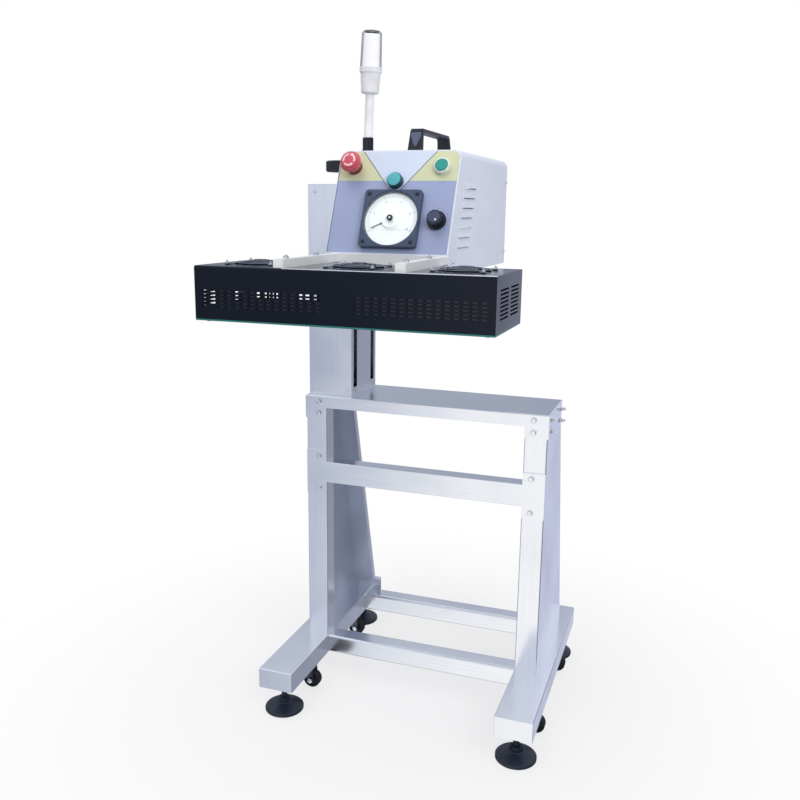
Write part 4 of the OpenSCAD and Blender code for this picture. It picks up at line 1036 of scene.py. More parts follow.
@dataclass
class Panel:
    """The sloped panel: printed film, meter, lamp, buttons and power knob."""

    angle: float = 67.0
    step: float = 35 * MM
    film_t: float = 0.6 * MM
    ink_t: float = 0.12 * MM
    wedge_coats: float = 2.0
    line_coats: float = 2.5
    film_half: float = 115.5 * MM
    film_low: float = 1.5 * MM
    film_high: float = 200.15 * MM
    film_round: float = 13 * MM
    left_shadow_w: float = 1.2 * MM
    right_highlight_strip: Point2 = (0.6 * MM, 2.4 * MM)
    band_s: float = 142.3 * MM
    apex_s: float = 123 * MM
    apex_half: float = 17 * MM
    wedge_half: float = 66 * MM
    line_w: float = 1.3 * MM
    meter_u: float = 3 * MM
    meter_s: float = 65 * MM
    meter_edge: float = 0.9 * MM
    meter_screw: PanScrew = PanScrew(8 * MM, 1.2 * MM)
    meter_screw_half: float = 46 * MM
    bezel_n: float = 12 * MM
    window_n: float = 11 * MM
    cover_n: float = 7.2 * MM
    cover_profile: tuple[Point2, ...] = ((0, 0), (17.5, 0), (17.5, 0.6), (17, 1), (0, 1))
    adjuster_profile: tuple[Point2, ...] = ((0, 0), (5.6, 0), (5.6, 3), (5, 3.6), (2.6, 3.8),
                                            (2.4, 3), (0, 3))
    slot_n: float = 3.1 * MM
    slot_profile: tuple[Point2, ...] = ((0, 0), (2.2, 0), (2.2, 0.3), (0, 0.4))
    dial_n: float = 3.8 * MM
    dial_r: float = 50.6 * MM
    dial_start: float = 210.0
    dial_sweep: float = 240.0
    dial_parts: int = 5
    dial_ticks: int = 10
    dial_step: int = 2
    long_tick: Point2 = (5 * MM, 0.8 * MM)
    short_tick: Point2 = (3 * MM, 0.4 * MM)
    tick_in: float = 8 * MM
    number_in: float = 14 * MM
    number_h: float = 6 * MM
    rule_u: Point2 = (-16 * MM, 44 * MM)
    rule_s: Point2 = (-20.2 * MM, -19.9 * MM)
    bezel_edge: float = 0.6 * MM
    cap_edge: float = 0.5 * MM
    lamp_s: float = 140 * MM
    lamp_n: float = 12.6 * MM
    lamp_profile: tuple[Point2, ...] = ((0, 0), (12.6, 0), (12.6, 0.8), (11.4, 1.6), (0, 2.1))
    button_u: float = 86 * MM
    button_s: float = 169 * MM
    stop_top: float = 34.4 * MM
    stop_dome: float = 45 * MM
    arrows: int = 3
    arrow_start: float = 100.0
    arrow_sweep: float = 82.0
    arrow_tip_at: float = 80.0
    arrow_radii: tuple[float, float, float] = (9 * MM, 10.7 * MM, 12.4 * MM)
    arrow_up: float = 0.14 * MM
    arrow_down: float = 0.5 * MM
    arrow_head: tuple[Point2, ...] = ((-3.4, 0), (3.4, 0), (0, 4.6))
    knob_u: float = 89 * MM
    knob_s: float = 65 * MM
    knob_n: float = 19.6 * MM
    knob_turn: float = -58.0
    knob_edge: float = 0.4 * MM
    knob_profile: tuple[Point2, ...] = ((0, 0), (10.8, 0), (10.8, 0.4), (9.6, 0.9), (0, 0.9))
    ridge_low: Point3 = (-9.4 * MM, -1.4 * MM, 0.5 * MM)
    ridge_high: Point3 = (9.4 * MM, 1.4 * MM, 1.9 * MM)
    ridge_edge: float = 0.5 * MM
    dot_u: Point2 = (4.6 * MM, 8.8 * MM)
    dot_half: float = 1.2 * MM
    dot_t: float = 0.25 * MM
    knob_ticks: int = 10
    knob_start: float = 225.0
    knob_sweep: float = 270.0
    knob_tick_r: Point2 = (21.5 * MM, 24 * MM)
    knob_tick_half: float = 0.4 * MM
    place: Matrix = field(default_factory=Matrix)

    def build(self) -> None:
        """Places the panel and makes everything on it."""
        low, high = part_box("box_chassis")
        corner = Vector(((low.x + high.x) / 2, low.y, low.z + self.step))
        slope = Matrix.Rotation(math.radians(self.angle), 4, "X")
        self.place = Matrix.Translation(corner) @ slope
        self.film()
        self.meter()
        self.scale()
        self.controls()
        self.stop_button()
        self.knob()

    def at(self, u: float, s: float, n: float = 0.0, turn: float = 0.0) -> Matrix:
        """Returns the matrix of a place on the panel.

        Args:
            u: distance to the right of the middle.
            s: distance up the slope.
            n: height above the film's face.
            turn: turn about the outward direction, in degrees.

        Returns:
            A matrix whose +Z points out of the panel.
        """
        spin = Matrix.Rotation(math.radians(turn), 4, "Z")
        return self.place @ Matrix.Translation((u, s, self.film_t + n)) @ spin

    def corner(self, centre: Point2, radius: float, start: float, stop: float,
               steps: int = 6) -> list[Point2]:
        """Returns points along an arc.

        Args:
            centre: the arc's middle.
            radius: its radius.
            start: its first angle, in degrees.
            stop: its last angle, in degrees.
            steps: facets along it.

        Returns:
            The points from the first angle to the last.
        """
        turns = [math.radians(start + (stop - start) * i / steps) for i in range(steps + 1)]
        return [(centre[0] + radius * math.cos(turn), centre[1] + radius * math.sin(turn))
                for turn in turns]

    def film(self) -> None:
        """Makes the printed fields: blue ground, yellow band, pale wedge and its lines, with a
        painted shadow line along the left edge and a painted highlight strip along the right edge.
        """
        dress_node("panel_overlay", FILM_BLUE)
        half, top, r = self.film_half, self.film_high, self.film_round
        flat = self.at(0, 0)
        band = [(-half, self.band_s), (half, self.band_s)]
        band += self.corner((half - r, top - r), r, 0, 90)
        band += self.corner((r - half, top - r), r, 90, 180)
        yellow = Shape.prism(band, self.ink_t).moved(flat)
        yellow.piece("film_yellow_band", FILM_YELLOW, Body.LIFT, "overlay_print")
        pale = Shape.prism(self.wedge(0.0), self.wedge_coats * self.ink_t).moved(flat)
        pale.piece("film_pale_wedge", FILM_PALE, Body.LIFT, "overlay_print")
        outline = self.wedge(0.0) + self.wedge(self.line_w)[::-1]
        lines = Shape.prism(outline, self.line_coats * self.ink_t).moved(flat)
        # A dark line along the film's left edge: painted shadow of the gap beside the panel
        lines.join(self.strip(-half - self.left_shadow_w, -half))
        lines.piece("film_lines_and_edge_shadow", FILM_LINE, Body.LIFT, "overlay_print")
        # A pale strip along the film's right edge: painted highlight on the cover's sheet edge
        near, far = self.right_highlight_strip
        edge = self.strip(half + near, half + far)
        edge.piece("film_edge_painted_highlight", EDGE_HIGHLIGHT, Body.LIFT, "overlay_print")

    def strip(self, left: float, right: float) -> Shape:
        """Makes an upright strip along the film's edge.

        Args:
            left: where the strip starts across the panel.
            right: where it ends.

        Returns:
            The strip in its place.
        """
        top = self.film_high - self.film_round
        made = Shape.box((left, self.film_low, -self.film_t), (right, top, self.ink_t))
        return made.moved(self.at(0, 0))

    def wedge(self, grow: float) -> list[Point2]:
        """Draws the wedge from its upper left corner round the apex to the upper right.

        Args:
            grow: how far the outline is drawn outside the wedge's edge.

        Returns:
            The outline's points.
        """
        slant = math.atan2(self.film_high - self.apex_s - self.apex_half,
                           self.wedge_half - self.apex_half)
        centre = (0.0, self.apex_s + self.apex_half)
        side = math.degrees(slant)
        arc = self.corner(centre, self.apex_half + grow, 270 - side, 270 + side, steps=10)
        rise = self.film_high - arc[-1][1]
        top_u = arc[-1][0] + rise / math.tan(slant)
        return [(-top_u, self.film_high)] + arc + [(top_u, self.film_high)]

    def on_meter(self, n: float, turn: float = 0.0) -> Matrix:
        """Returns the matrix of a place on the meter's axis."""
        return self.at(self.meter_u, self.meter_s, n, turn)

    def meter(self) -> None:
        """Makes the meter's bezel, screws, needle cover, window and adjuster."""
        eased("meter_case", SLATE, Body.LIFT, "meter_slate", self.meter_edge, segments=3)
        # The dial and the needle cover glow faintly: painted light
        dress_node("meter_dial", DIAL_WHITE_GLOWING)
        dress_node("meter_window", WINDOW)
        dress_node("meter_needle", NEEDLE_INK)
        screws = Shape()
        half = self.meter_screw_half
        for u in (self.meter_u - half, self.meter_u + half):
            for s in (self.meter_s - half, self.meter_s + half):
                screws.join(self.meter_screw.shape().moved(self.at(u, s, self.bezel_n)))
        screws.piece("meter_screws", KNOB_BLACK, Body.LIFT, "black_plastic")
        cover = Shape.turned(in_mm(self.cover_profile)).moved(self.on_meter(self.cover_n))
        cover.piece("needle_cover", DIAL_WHITE_GLOWING, Body.LIFT, "dial_white")
        adjuster = Shape.turned(in_mm(self.adjuster_profile), steps=32)
        adjuster.moved(self.on_meter(self.window_n))
        adjuster.piece("meter_adjuster", KNOB_BLACK, Body.LIFT, "black_plastic")
        slot = Shape.turned(in_mm(self.slot_profile), steps=20)
        slot.moved(self.on_meter(self.window_n + self.slot_n))
        slot.piece("meter_adjuster_screw", BOLT_ZINC, Body.LIFT, "bolt_steel")

    def scale(self) -> None:
        """Makes the dial's ticks, numbers and rule."""
        ink = Shape()
        ticks = self.dial_parts * self.dial_ticks
        start = self.dial_r - self.tick_in
        for i in range(ticks + 1):
            length, width = self.short_tick if i % self.dial_ticks else self.long_tick
            tick = Shape.box((start, -width / 2, 0), (start + length, width / 2, self.ink_t))
            turn = self.dial_start - i * self.dial_sweep / ticks
            ink.join(tick.moved(self.on_meter(self.dial_n, turn)))
        radius = self.dial_r - self.number_in
        for i in range(self.dial_parts + 1):
            turn = math.radians(self.dial_start - i * self.dial_sweep / self.dial_parts)
            u = self.meter_u + radius * math.cos(turn)
            s = self.meter_s + radius * math.sin(turn)
            number = Shape.lettering(str(i * self.dial_step), self.number_h, self.ink_t)
            ink.join(number.moved(self.at(u, s, self.dial_n)))
        rule = Shape.box((self.rule_u[0], self.rule_s[0], 0),
                         (self.rule_u[1], self.rule_s[1], self.ink_t))
        ink.join(rule.moved(self.on_meter(self.dial_n)))
        ink.piece("meter_scale", DIAL_INK, Body.LIFT, "dial_white")

    def controls(self) -> None:
        """Makes the lamp and the start button."""
        eased("indicator_lamp", BEZEL_DARK, Body.LIFT, "green_lens", self.bezel_edge)
        face = Shape.turned(in_mm(self.lamp_profile), steps=40)
        face.moved(self.at(0, self.lamp_s, self.lamp_n))
        face.piece("lamp_face", LAMP_GREEN, Body.LIFT, "green_lens")
        eased("start_bezel", BEZEL_WHITE, Body.LIFT, "bezel_white", self.bezel_edge)
        eased("start_cap", BUTTON_GREEN, Body.START, "green_cap", self.cap_edge)

    def stop_button(self) -> None:
        """Makes the emergency stop with the arrows on its dome."""
        dress_node("e_stop_stem", DARK_STEEL)
        # The collar's darker red is painted shade under the mushroom head
        eased("e_stop_collar", STOP_RED_SHADED, Body.LIFT, "black_plastic", self.cap_edge)
        eased("e_stop_head", STOP_RED, Body.STOP_HEAD, "stop_red", self.cap_edge)
        radii = self.arrow_radii
        band = [(r, self.dome(r) + self.arrow_up) for r in radii]
        band += [(r, self.dome(r) - self.arrow_down) for r in radii[::-1]]
        tilt = Matrix.Rotation(math.asin(radii[1] / self.stop_dome), 4, "Y")
        foot = Matrix.Translation((radii[1], 0, self.dome(radii[1]) - self.arrow_down))
        tip_turn = Matrix.Rotation(math.radians(self.arrow_tip_at), 4, "Z")
        marks = Shape()
        for i in range(self.arrows):
            turn = self.arrow_start + i * 360 / self.arrows
            place = self.at(-self.button_u, self.button_s, 0.0, turn)
            marks.join(Shape.swept(band, self.arrow_sweep).moved(place))
            head = Shape.prism(in_mm(self.arrow_head), self.arrow_down + self.arrow_up)
            marks.join(head.moved(place @ tip_turn @ foot @ tilt))
        marks.piece("stop_arrows", STOP_MARK, Body.STOP_HEAD, "stop_red")

    def dome(self, radius: float) -> float:
        """Returns the height of the stop button's dome at a radius."""
        return self.stop_top - self.stop_dome + math.sqrt(self.stop_dome ** 2 - radius ** 2)

    def knob(self) -> None:
        """Makes the power knob, its ridged cap with a dot, and the scale round it."""
        eased("power_knob", KNOB_BLACK, Body.DIAL, "black_plastic", self.knob_edge)
        cap = Shape.turned(in_mm(self.knob_profile), steps=40)
        cap.join(Shape.box(self.ridge_low, self.ridge_high).bevelled(self.ridge_edge))
        cap.moved(self.at(self.knob_u, self.knob_s, self.knob_n, self.knob_turn))
        cap.piece("knob_cap", KNOB_CAP, Body.DIAL, "black_plastic")
        dot = Shape.box((self.dot_u[0], -self.dot_half, 0),
                        (self.dot_u[1], self.dot_half, self.dot_t))
        top = self.knob_n + self.ridge_high[2]
        dot.moved(self.at(self.knob_u, self.knob_s, top, self.knob_turn))
        dot.piece("knob_pointer", POLE_WHITE, Body.DIAL, "bezel_white")
        marks = Shape()
        inner, outer = self.knob_tick_r
        for i in range(self.knob_ticks + 1):
            tick = Shape.box((inner, -self.knob_tick_half, 0),
                             (outer, self.knob_tick_half, self.ink_t))
            turn = self.knob_start - i * self.knob_sweep / self.knob_ticks
            marks.join(tick.moved(self.at(self.knob_u, self.knob_s, 0, turn)))
        marks.piece("knob_scale", FILM_LINE, Body.LIFT, "overlay_print")


@dataclass
class Beacon:
    """Mount, leaning pole, white base and clear lens over a white diffuser."""

    lean: float = 2.0
    seat: float = 18 * MM
    edge: float = 0.8 * MM
    base_top: float = 146 * MM
    ring_r: float = 21.5 * MM
    ring_wall: float = 2 * MM
    ring_h: float = 3 * MM
    ring_chamfer: Point2 = (0.6 * MM, 0.5 * MM)
    tab_in: float = 1 * MM
    tab_out: float = 1.6 * MM
    tab_half: float = 2.5 * MM
    tab_h: float = 4 * MM
    tab_edge: float = 0.5 * MM
    glow_r: float = 16.2 * MM
    glow_h: float = 59 * MM
    glow_lift: float = 0.3 * MM
    glow_chamfer: float = 2 * MM
    place: Matrix = field(default_factory=Matrix)

    def build(self) -> None:
        """Dresses the beacon and adds its ring, tab and diffuser."""
        low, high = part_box("beacon_mount")
        foot = Vector(((low.x + high.x) / 2, (low.y + high.y) / 2, high.z - self.seat))
        self.place = Matrix.Translation(foot) @ Matrix.Rotation(math.radians(self.lean), 4, "Y")
        eased("beacon_mount", BLACK_PLASTIC, Body.LIFT, "black_plastic", self.edge)
        dress_node("beacon_pole", POLE_WHITE)
        eased("beacon_base", BEACON_WHITE, Body.LIFT, "beacon_white", self.edge)
        dress_node("beacon_lens", BEACON_LENS)
        self.ring()
        self.diffuser()

    def ring(self) -> None:
        """Makes the thin ring under the lens, with its small tab."""
        r, top = self.ring_r, self.base_top
        low = top - self.ring_h
        across, down = self.ring_chamfer
        made = Shape.turned([(r - self.ring_wall, low), (r, low), (r, top - down),
                             (r - across, top)])
        tab = Shape.box((r - self.tab_in, -self.tab_half, top - self.tab_h),
                        (r + self.tab_out, self.tab_half, top))
        made.join(tab.bevelled(self.tab_edge))
        made.moved(self.place).piece("beacon_ring", BEACON_WHITE, Body.LIFT, "beacon_white")

    def diffuser(self) -> None:
        """Makes the white diffuser inside the lens."""
        r, chamfer = self.glow_r, self.glow_chamfer
        top = self.base_top + self.glow_h
        made = Shape.turned([(r, self.base_top + self.glow_lift), (r, top - chamfer),
                             (r - chamfer, top), (0, top)])
        made.moved(self.place).piece("beacon_diffuser", BEACON_GLOW, Body.LIFT, "beacon_white")


@dataclass
class SealingHead:
    """Black housing with fans and wire guards, green plate, bracket arms and studs."""

    housing_edge: float = 0.6 * MM
    housing_long: float = 60 * MM
    plate_edge: float = 0.5 * MM
    bracket_edge: float = 0.7 * MM
    wire: float = 2 * MM
    rise: float = 7 * MM
    foot: float = 2.5 * MM
    rings: int = 4
    inner: float = 9 * MM
    outer: float = 42 * MM
    screw: float = 41.1 * MM
    eye: float = 3 * MM
    guard_turns: tuple[float, ...] = (45.0, 135.0, 225.0, 315.0)
    fan_pitch: float = 182 * MM
    post: HexBolt = HexBolt(6 * MM, 2.4 * MM, 8.5 * MM, 0.6 * MM, stud=2.5 * MM, stud_d=3 * MM)
    arm_h: float = 14 * MM
    arm_half: float = 8.5 * MM
    stud: HexBolt = HexBolt(9 * MM, 3.6 * MM, 11 * MM, 0.6 * MM, stud=1.6 * MM, stud_d=5 * MM)
    stud_in: float = 30 * MM
    plate_screw: PanScrew = PanScrew(8 * MM, 3 * MM)
    plate_screw_in: float = 16 * MM
    glow_sheet_set: float = 3 * MM
    glow_sheet_t: float = 0.8 * MM
    highlight_bead_d: float = 1.6 * MM
    highlight_bead_sunk: float = 0.3
    openings: tuple[tuple[float, float, float], ...] = (
        (-0.2715, -0.2466, 0.8684), (-0.2102, -0.1960, 0.8795), (-0.1712, -0.1316, 0.8852),
        (-0.0943, -0.0476, 0.8854))
    openings_top: float = 0.8955

    def build(self) -> None:
        """Makes the head's pieces."""
        eased("head_housing", HEAD_BLACK, Body.LIFT, "black_gloss", self.housing_edge,
              longer=self.housing_long, smooth=0)
        eased("head_bottom_plate", PLATE_GREEN, Body.LIFT, "plate_green", self.plate_edge)
        eased("head_bracket", ARM_PAINT, Body.LIFT, "arm_paint", self.bracket_edge)
        dress_node("induction_coil", COIL_LACQUER)
        dress_node("fan_frames", FAN_PLASTIC)
        for place in ("left", "middle", "right"):
            dress_node(f"fan_rotor_{place}", FAN_PLASTIC)
        self.glow_sheet()
        self.highlight_bead()
        self.guards()
        self.studs()

    def glow_sheet(self) -> None:
        """Makes the dark sheet behind the front vents, which leaves a few of them open and glows
        faintly as painted light.
        """
        low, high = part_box("head_housing")
        front = low.y + self.glow_sheet_set
        bottom, top = low.z + self.glow_sheet_set, high.z - 2 * self.glow_sheet_set
        fields = []
        x = low.x + self.glow_sheet_set
        for left, right, sill in self.openings:
            fields += [(x, left, bottom, top), (left, right, bottom, sill),
                       (left, right, self.openings_top, top)]
            x = right
        fields.append((x, high.x - self.glow_sheet_set, bottom, top))
        made = Shape()
        for x0, x1, z0, z1 in fields:
            made.join(Shape.box((x0, front, z0), (x1, front + self.glow_sheet_t, z1)))
        made.piece("head_glow_sheet", HEAD_GLOW_SHEET, Body.LIFT, "black_gloss")

    def highlight_bead(self) -> None:
        """Makes a bright metal bead along the front top edge, from the left arm to the right end: a
        painted highlight of the bend.
        """
        low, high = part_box("head_housing")
        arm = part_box("head_bracket")[0].x + 2 * self.arm_half
        inset = self.highlight_bead_sunk * self.highlight_bead_d
        # The bead stands in for the highlight on the housing's bend: a painted highlight
        bead = Shape.cylinder(self.highlight_bead_d / 2, high.x - arm, sides=16)
        bead.moved(facing((arm, low.y + inset, high.z - inset), (1, 0, 0)))
        bead.piece("head_edge_painted_highlight", BOLT_ZINC, Body.LIFT, "bolt_steel")

    def guards(self) -> None:
        """Makes the three wire guards with their eyes and screws."""
        low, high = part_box("head_housing")
        middle = (low + high) / 2
        wires = Shape()
        screws = Shape()
        for i in (-1, 0, 1):
            place = Matrix.Translation((middle.x + i * self.fan_pitch, middle.y, high.z))
            wires.join(self.guard().moved(place))
            for x in (-self.screw, self.screw):
                for y in (-self.screw, self.screw):
                    spot = Matrix.Translation((x, y, self.wire))
                    screws.join(self.post.shape().moved(place @ spot))
        wires.piece("fan_guard_wires", WIRE_PLATE, Body.LIFT, "wire_chrome", ["fan_guards"])
        screws.piece("fan_guard_screws", BOLT_ZINC, Body.LIFT, "bolt_steel")

    def guard(self) -> Shape:
        """Makes one domed guard: rings on four arms that end in eyes.

        Returns:
            The guard about the origin.
        """
        made = Shape()
        step = (self.outer - self.inner) / (self.rings - 1)
        fall = (self.rise - self.foot) / (self.rings - 1)
        for i in range(self.rings):
            made.join(Shape.ring(self.inner + i * step, self.wire, self.rise - i * fall, steps=56))
        reach = self.screw * math.sqrt(2)
        eye_z = self.wire / 2
        points = [Vector((self.inner, 0, self.rise)), Vector((self.outer, 0, self.foot)),
                  Vector((reach - self.eye, 0, eye_z))]
        for turn in self.guard_turns:
            spin = Matrix.Rotation(math.radians(turn), 4, "Z")
            for start, stop in zip(points, points[1:]):
                bar = Shape.cylinder(self.wire / 2, (stop - start).length, sides=8)
                made.join(bar.moved(spin @ facing(start, stop - start)))
            eye = Shape.ring(self.eye, self.wire, eye_z, steps=20)
            made.join(eye.moved(spin @ Matrix.Translation((reach, 0, 0))))
        return made

    def studs(self) -> None:
        """Makes the studs with nuts on the arms and the plate's screws below."""
        bracket_low, bracket_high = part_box("head_bracket")
        plate_low, plate_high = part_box("head_bottom_plate")
        arm_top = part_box("head_housing")[1].z + self.arm_h
        made = Shape()
        for x in (bracket_low.x + self.arm_half, bracket_high.x - self.arm_half):
            for y in (bracket_low.y + self.stud_in, plate_high.y - self.stud_in):
                made.join(self.stud.shape().moved(Matrix.Translation((x, y, arm_top))))
        inset = self.plate_screw_in
        for x in (plate_low.x + inset, plate_high.x - inset):
            for y in (plate_low.y + inset, plate_high.y - inset):
                seat = facing((x, y, plate_low.z), (0, 0, -1))
                made.join(self.plate_screw.shape().moved(seat))
        made.piece("head_fasteners_zinc", BOLT_ZINC, Body.LIFT, "bolt_steel", ["head_fasteners"])


@dataclass
class Surround:
    """The studio round the object: a white view, soft light, and what mirrors see by direction."""

    sky: Colour = (0.93, 0.95, 1.0)
    sky_level: float = 0.52
    front_dim: tuple[Stop, ...] = (
        (-0.52, (0.27, 0.30, 0.41)), (-0.37, (0.33, 0.37, 0.49)), (-0.29, (0.86, 0.88, 0.93)),
        (-0.22, (0.96, 0.97, 0.98)), (0.08, (0.96, 0.97, 0.98)), (0.26, (0.22, 0.24, 0.30)))
    front_lit: tuple[Stop, ...] = (
        (-0.52, (0.60, 0.65, 0.78)), (-0.37, (0.64, 0.69, 0.82)), (-0.29, (0.92, 0.94, 0.97)),
        (-0.22, (0.96, 0.97, 0.98)), (0.08, (0.96, 0.97, 0.98)), (0.26, (0.22, 0.24, 0.30)))
    front_height: tuple[Stop, ...] = (
        (-0.45, (0.36, 0.36, 0.36)), (-0.30, (0.44, 0.44, 0.44)), (-0.22, (0.26, 0.26, 0.26)),
        (-0.15, (0.0, 0.0, 0.0)), (-0.06, (0.7, 0.7, 0.7)), (0.02, (1.0, 1.0, 1.0)))
    back_low: tuple[Stop, ...] = (
        (-0.30, (0.14, 0.16, 0.21)), (0.02, (0.53, 0.56, 0.72)), (0.18, (0.60, 0.63, 0.82)),
        (0.36, (0.28, 0.30, 0.38)), (0.50, (0.18, 0.20, 0.25)))
    back_high: tuple[Stop, ...] = (
        (-0.40, (0.36, 0.41, 0.49)), (-0.14, (0.33, 0.36, 0.46)), (0.02, (0.72, 0.75, 0.86)),
        (0.20, (0.72, 0.77, 0.98)), (0.36, (0.28, 0.30, 0.38)))
    front_high: Colour = (0.58, 0.62, 0.74)
    above: Colour = (0.80, 0.84, 0.95)
    front_rise: Point2 = (0.06, 0.2)
    back_rise: Point2 = (-0.05, 0.12)
    side_turn: Point2 = (-0.2, 0.2)
    above_rise: Point2 = (0.41, 0.64)
    nodes: bpy.types.Nodes = field(init=False)
    links: bpy.types.NodeLinks = field(init=False)

    def build(self) -> None:
        """Makes the world's nodes."""
        world = bpy.data.worlds.new("studio")
        bpy.context.scene.world = world
        world.use_nodes = True
        self.nodes, self.links = world.node_tree.nodes, world.node_tree.links
        self.nodes.clear()
        path = self.nodes.new("ShaderNodeLightPath")
        seen = self.nodes.new("ShaderNodeMath")
        seen.operation = "MAXIMUM"
        self.links.new(path.outputs["Is Camera Ray"], seen.inputs[0])
        self.links.new(path.outputs["Is Transmission Ray"], seen.inputs[1])
        soft = self.background(self.sky, self.sky_level)
        white = self.background(WHITE, 1.0)
        mirror = self.background(WHITE, 1.0)
        self.links.new(self.mirror_colour(), mirror.inputs["Color"])
        lit = self.pick(path.outputs["Is Glossy Ray"], soft.outputs[0], mirror.outputs[0])
        shown = self.pick(seen.outputs["Value"], lit, white.outputs[0])
        output = self.nodes.new("ShaderNodeOutputWorld")
        self.links.new(shown, output.inputs["Surface"])

    def background(self, colour: Colour, strength: float) -> bpy.types.Node:
        """Adds a background.

        Args:
            colour: its colour.
            strength: its strength.

        Returns:
            The background's node.
        """
        node = self.nodes.new("ShaderNodeBackground")
        node.inputs["Color"].default_value = (*colour, 1)
        node.inputs["Strength"].default_value = strength
        return node

    def pick(self, share: bpy.types.NodeSocket, first: bpy.types.NodeSocket,
             second: bpy.types.NodeSocket) -> bpy.types.NodeSocket:
        """Mixes two backgrounds.

        Args:
            share: how much of the second one shows.
            first: the one at 0.
            second: the one at 1.

        Returns:
            The mixed shader.
        """
        node = self.nodes.new("ShaderNodeMixShader")
        for socket, source in zip(node.inputs, (share, first, second)):
            self.links.new(source, socket)
        return node.outputs[0]

    def mirror_colour(self) -> bpy.types.NodeSocket:
        """Builds what a mirror sees: ramps in front and behind, and a pale sky above.

        Returns:
            The colour by direction.
        """
        place = self.nodes.new("ShaderNodeTexCoord")
        split = self.nodes.new("ShaderNodeSeparateXYZ")
        self.links.new(place.outputs["Generated"], split.inputs["Vector"])
        across, along, height = (split.outputs[axis] for axis in "XYZ")
        front = self.blend(self.ramp(height, self.front_height), self.ramp(across, self.front_dim),
                           self.ramp(across, self.front_lit))
        front = self.blend(self.share(height, self.front_rise), front, self.plain(self.front_high))
        back = self.blend(self.share(height, self.back_rise), self.ramp(across, self.back_low),
                          self.ramp(across, self.back_high))
        walls = self.blend(self.share(along, self.side_turn), front, back)
        return self.blend(self.share(height, self.above_rise), walls, self.plain(self.above))

    def plain(self, colour: Colour) -> bpy.types.NodeSocket:
        """Adds one colour.

        Args:
            colour: the colour.

        Returns:
            Its socket.
        """
        node = self.nodes.new("ShaderNodeRGB")
        node.outputs[0].default_value = (*colour, 1)
        return node.outputs[0]

    def share(self, source: bpy.types.NodeSocket, span: Point2) -> bpy.types.NodeSocket:
        """Maps a part of one axis of the direction softly to 0 to 1.

        Args:
            source: the axis.
            span: where the share is 0 and where it is 1.

        Returns:
            The share.
        """
        node = self.nodes.new("ShaderNodeMapRange")
        node.interpolation_type = "SMOOTHSTEP"
        node.inputs["From Min"].default_value, node.inputs["From Max"].default_value = span
        self.links.new(source, node.inputs["Value"])
        return node.outputs["Result"]

    def ramp(self, source: bpy.types.NodeSocket, stops: Sequence[Stop]) -> bpy.types.NodeSocket:
        """Colours one axis of the direction.

        Args:
            source: the axis, from -1 to 1.
            stops: values on the axis with their colours.

        Returns:
            The colour.
        """
        shift = self.nodes.new("ShaderNodeMapRange")
        shift.inputs["From Min"].default_value = -1.0
        self.links.new(source, shift.inputs["Value"])
        node = self.nodes.new("ShaderNodeValToRGB")
        elements = node.color_ramp.elements
        while len(elements) < len(stops):
            elements.new(1.0)
        for element, (value, colour) in zip(elements, stops):
            element.position = (value + 1) / 2
            element.color = (*colour, 1)
        self.links.new(shift.outputs["Result"], node.inputs["Fac"])
        return node.outputs["Color"]

    def blend(self, share: bpy.types.NodeSocket, first: bpy.types.NodeSocket,
              second: bpy.types.NodeSocket) -> bpy.types.NodeSocket:
        """Mixes two colours.

        Args:
            share: how much of the second one shows.
            first: the colour at 0.
            second: the colour at 1.

        Returns:
            The mixed colour.
        """
        node = self.nodes.new("ShaderNodeMix")
        node.data_type = "RGBA"
        self.links.new(share, node.inputs["Factor"])
        self.links.new(first, node.inputs[MIX_FIRST])
        self.links.new(second, node.inputs[MIX_SECOND])
        return node.outputs[MIX_RESULT]


@dataclass(frozen=True)
class Softbox:
    """A square area lamp whose own image stays out of mirrors."""

    name: str
    place: Point3
    target: Point3
    size: float
    power: float

    def build(self) -> None:
        """Hangs the lamp and points it at its target."""
        data = bpy.data.lights.new(self.name, "AREA")
        data.size = self.size
        data.energy = self.power
        lamp = bpy.data.objects.new(self.name, data)
        lamp.location = self.place
        lamp.visible_glossy = False
        ahead = Vector(self.target) - Vector(self.place)
        lamp.rotation_euler = ahead.to_track_quat("-Z", "Y").to_euler()
        bpy.context.scene.collection.objects.link(lamp)


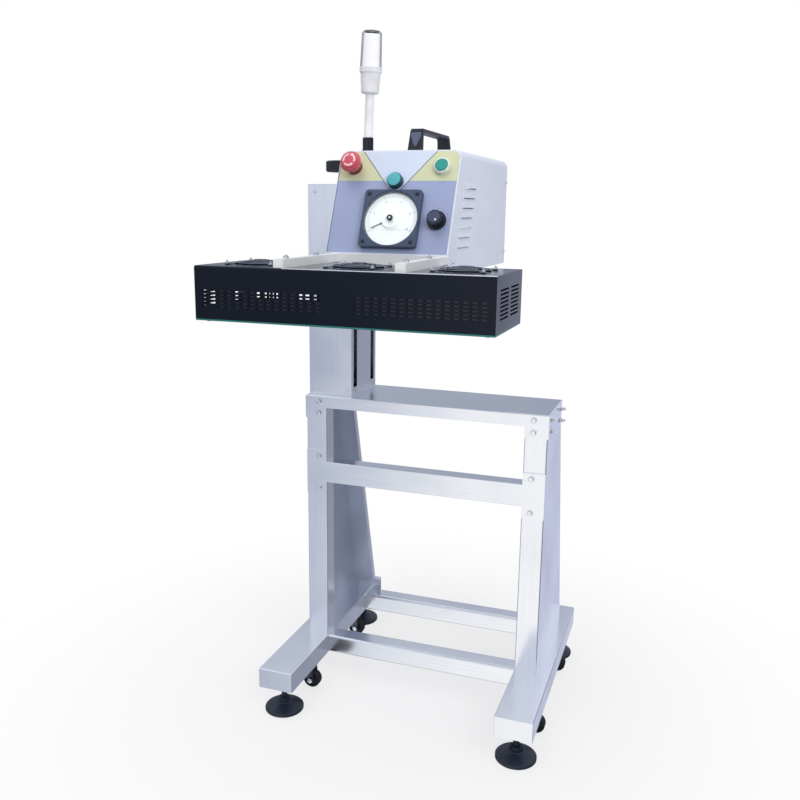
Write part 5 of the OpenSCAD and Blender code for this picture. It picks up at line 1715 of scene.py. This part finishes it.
@dataclass
class Studio:
    """Pale floor, soft light and the camera."""

    eye: Point3 = (0.5172, -1.6061, 1.0268)
    yaw: float = 19.2
    pitch: float = -12.3
    roll: float = 0.7
    focal_px: float = 866.7
    frame_px: float = 800.0
    sensor: float = 36.0
    floor_size: float = 14.0
    floor_z: float = -0.5 * MM
    floor_pale: Colour = (0.9, 0.9, 0.91)
    fade_span: Point2 = (0.3, 1.1)
    fade_from: float = 0.72
    lamps: tuple[Softbox, ...] = (
        Softbox("key_softbox", (1.9, -1.75, 2.2), (0.0, 0.0, 0.75), 1.6, 35.0),
        Softbox("top_softbox", (-0.45, -0.6, 3.0), (0.0, -0.1, 0.6), 1.3, 19.0))

    def build(self) -> None:
        """Sets up the view, the world, the floor, the lamps and the camera."""
        bpy.context.scene.view_settings.view_transform = "Standard"
        Surround().build()
        self.floor()
        for lamp in self.lamps:
            lamp.build()
        self.camera()

    def floor(self) -> None:
        """Makes the pale floor, which keeps the object's soft shadow close to it."""
        shape = Shape()
        bmesh.ops.create_grid(shape.bm, x_segments=1, y_segments=1, size=self.floor_size / 2)
        mesh = bpy.data.meshes.new("floor")
        shape.bm.to_mesh(mesh)
        shape.bm.free()
        floor = bpy.data.objects.new("floor", mesh)
        bpy.context.scene.collection.objects.link(floor)
        floor.location.z = self.floor_z
        floor.visible_glossy = False
        mesh.materials.append(self.floor_material())

    def floor_material(self) -> bpy.types.Material:
        """Makes the floor's material: pale and lit near the object, plain white further out.

        Returns:
            The material.
        """
        material = bpy.data.materials.new("pale_floor")
        material.use_nodes = True
        nodes, links = material.node_tree.nodes, material.node_tree.links
        nodes.clear()
        pale = nodes.new("ShaderNodeBsdfDiffuse")
        pale.inputs["Color"].default_value = (*self.floor_pale, 1)
        white = nodes.new("ShaderNodeEmission")
        white.inputs["Color"].default_value = (*WHITE, 1)
        white.inputs["Strength"].default_value = 1.0
        place = nodes.new("ShaderNodeTexCoord")
        distance = nodes.new("ShaderNodeVectorMath")
        distance.operation = "LENGTH"
        fade = nodes.new("ShaderNodeMapRange")
        fade.interpolation_type = "SMOOTHSTEP"
        near, far = self.fade_span
        fade.inputs["From Min"].default_value = near
        fade.inputs["From Max"].default_value = far
        fade.inputs["To Min"].default_value = self.fade_from
        path = nodes.new("ShaderNodeLightPath")
        share = nodes.new("ShaderNodeMath")
        share.operation = "MULTIPLY"
        mix = nodes.new("ShaderNodeMixShader")
        output = nodes.new("ShaderNodeOutputMaterial")
        links.new(place.outputs["Object"], distance.inputs[0])
        links.new(distance.outputs["Value"], fade.inputs["Value"])
        links.new(fade.outputs["Result"], share.inputs[0])
        links.new(path.outputs["Is Camera Ray"], share.inputs[1])
        links.new(share.outputs["Value"], mix.inputs["Fac"])
        links.new(pale.outputs["BSDF"], mix.inputs[1])
        links.new(white.outputs["Emission"], mix.inputs[2])
        links.new(mix.outputs["Shader"], output.inputs["Surface"])
        return material

    def camera(self) -> None:
        """Adds the camera at the photograph's viewing angle."""
        yaw, pitch, roll = (math.radians(a) for a in (self.yaw, self.pitch, self.roll))
        level = math.cos(pitch)
        ahead = Vector((-math.sin(yaw) * level, math.cos(yaw) * level, math.sin(pitch)))
        right = Vector((math.cos(yaw), math.sin(yaw), 0))
        up = right.cross(ahead)
        side = right * math.cos(roll) + up * math.sin(roll)
        top = up * math.cos(roll) - right * math.sin(roll)
        turn = Matrix((side, top, -ahead)).transposed()
        data = bpy.data.cameras.new("camera")
        data.sensor_width = self.sensor
        data.lens = self.sensor * self.focal_px / self.frame_px
        camera = bpy.data.objects.new("camera", data)
        camera.matrix_world = Matrix.Translation(self.eye) @ turn.to_4x4()
        bpy.context.scene.collection.objects.link(camera)
        bpy.context.scene.camera = camera


def main() -> None:
    """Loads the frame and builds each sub-assembly."""
    logging.basicConfig(level=logging.INFO, format="%(name)s: %(message)s")
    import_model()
    assemblies = (Studio(), Stand(), Feet(), Column(), ControlBox(), Panel(), Beacon(),
                  SealingHead())
    for assembly in assemblies:
        assembly.build()
        LOG.info("%s is done", type(assembly).__name__)


if __name__ == "__main__":
    main()
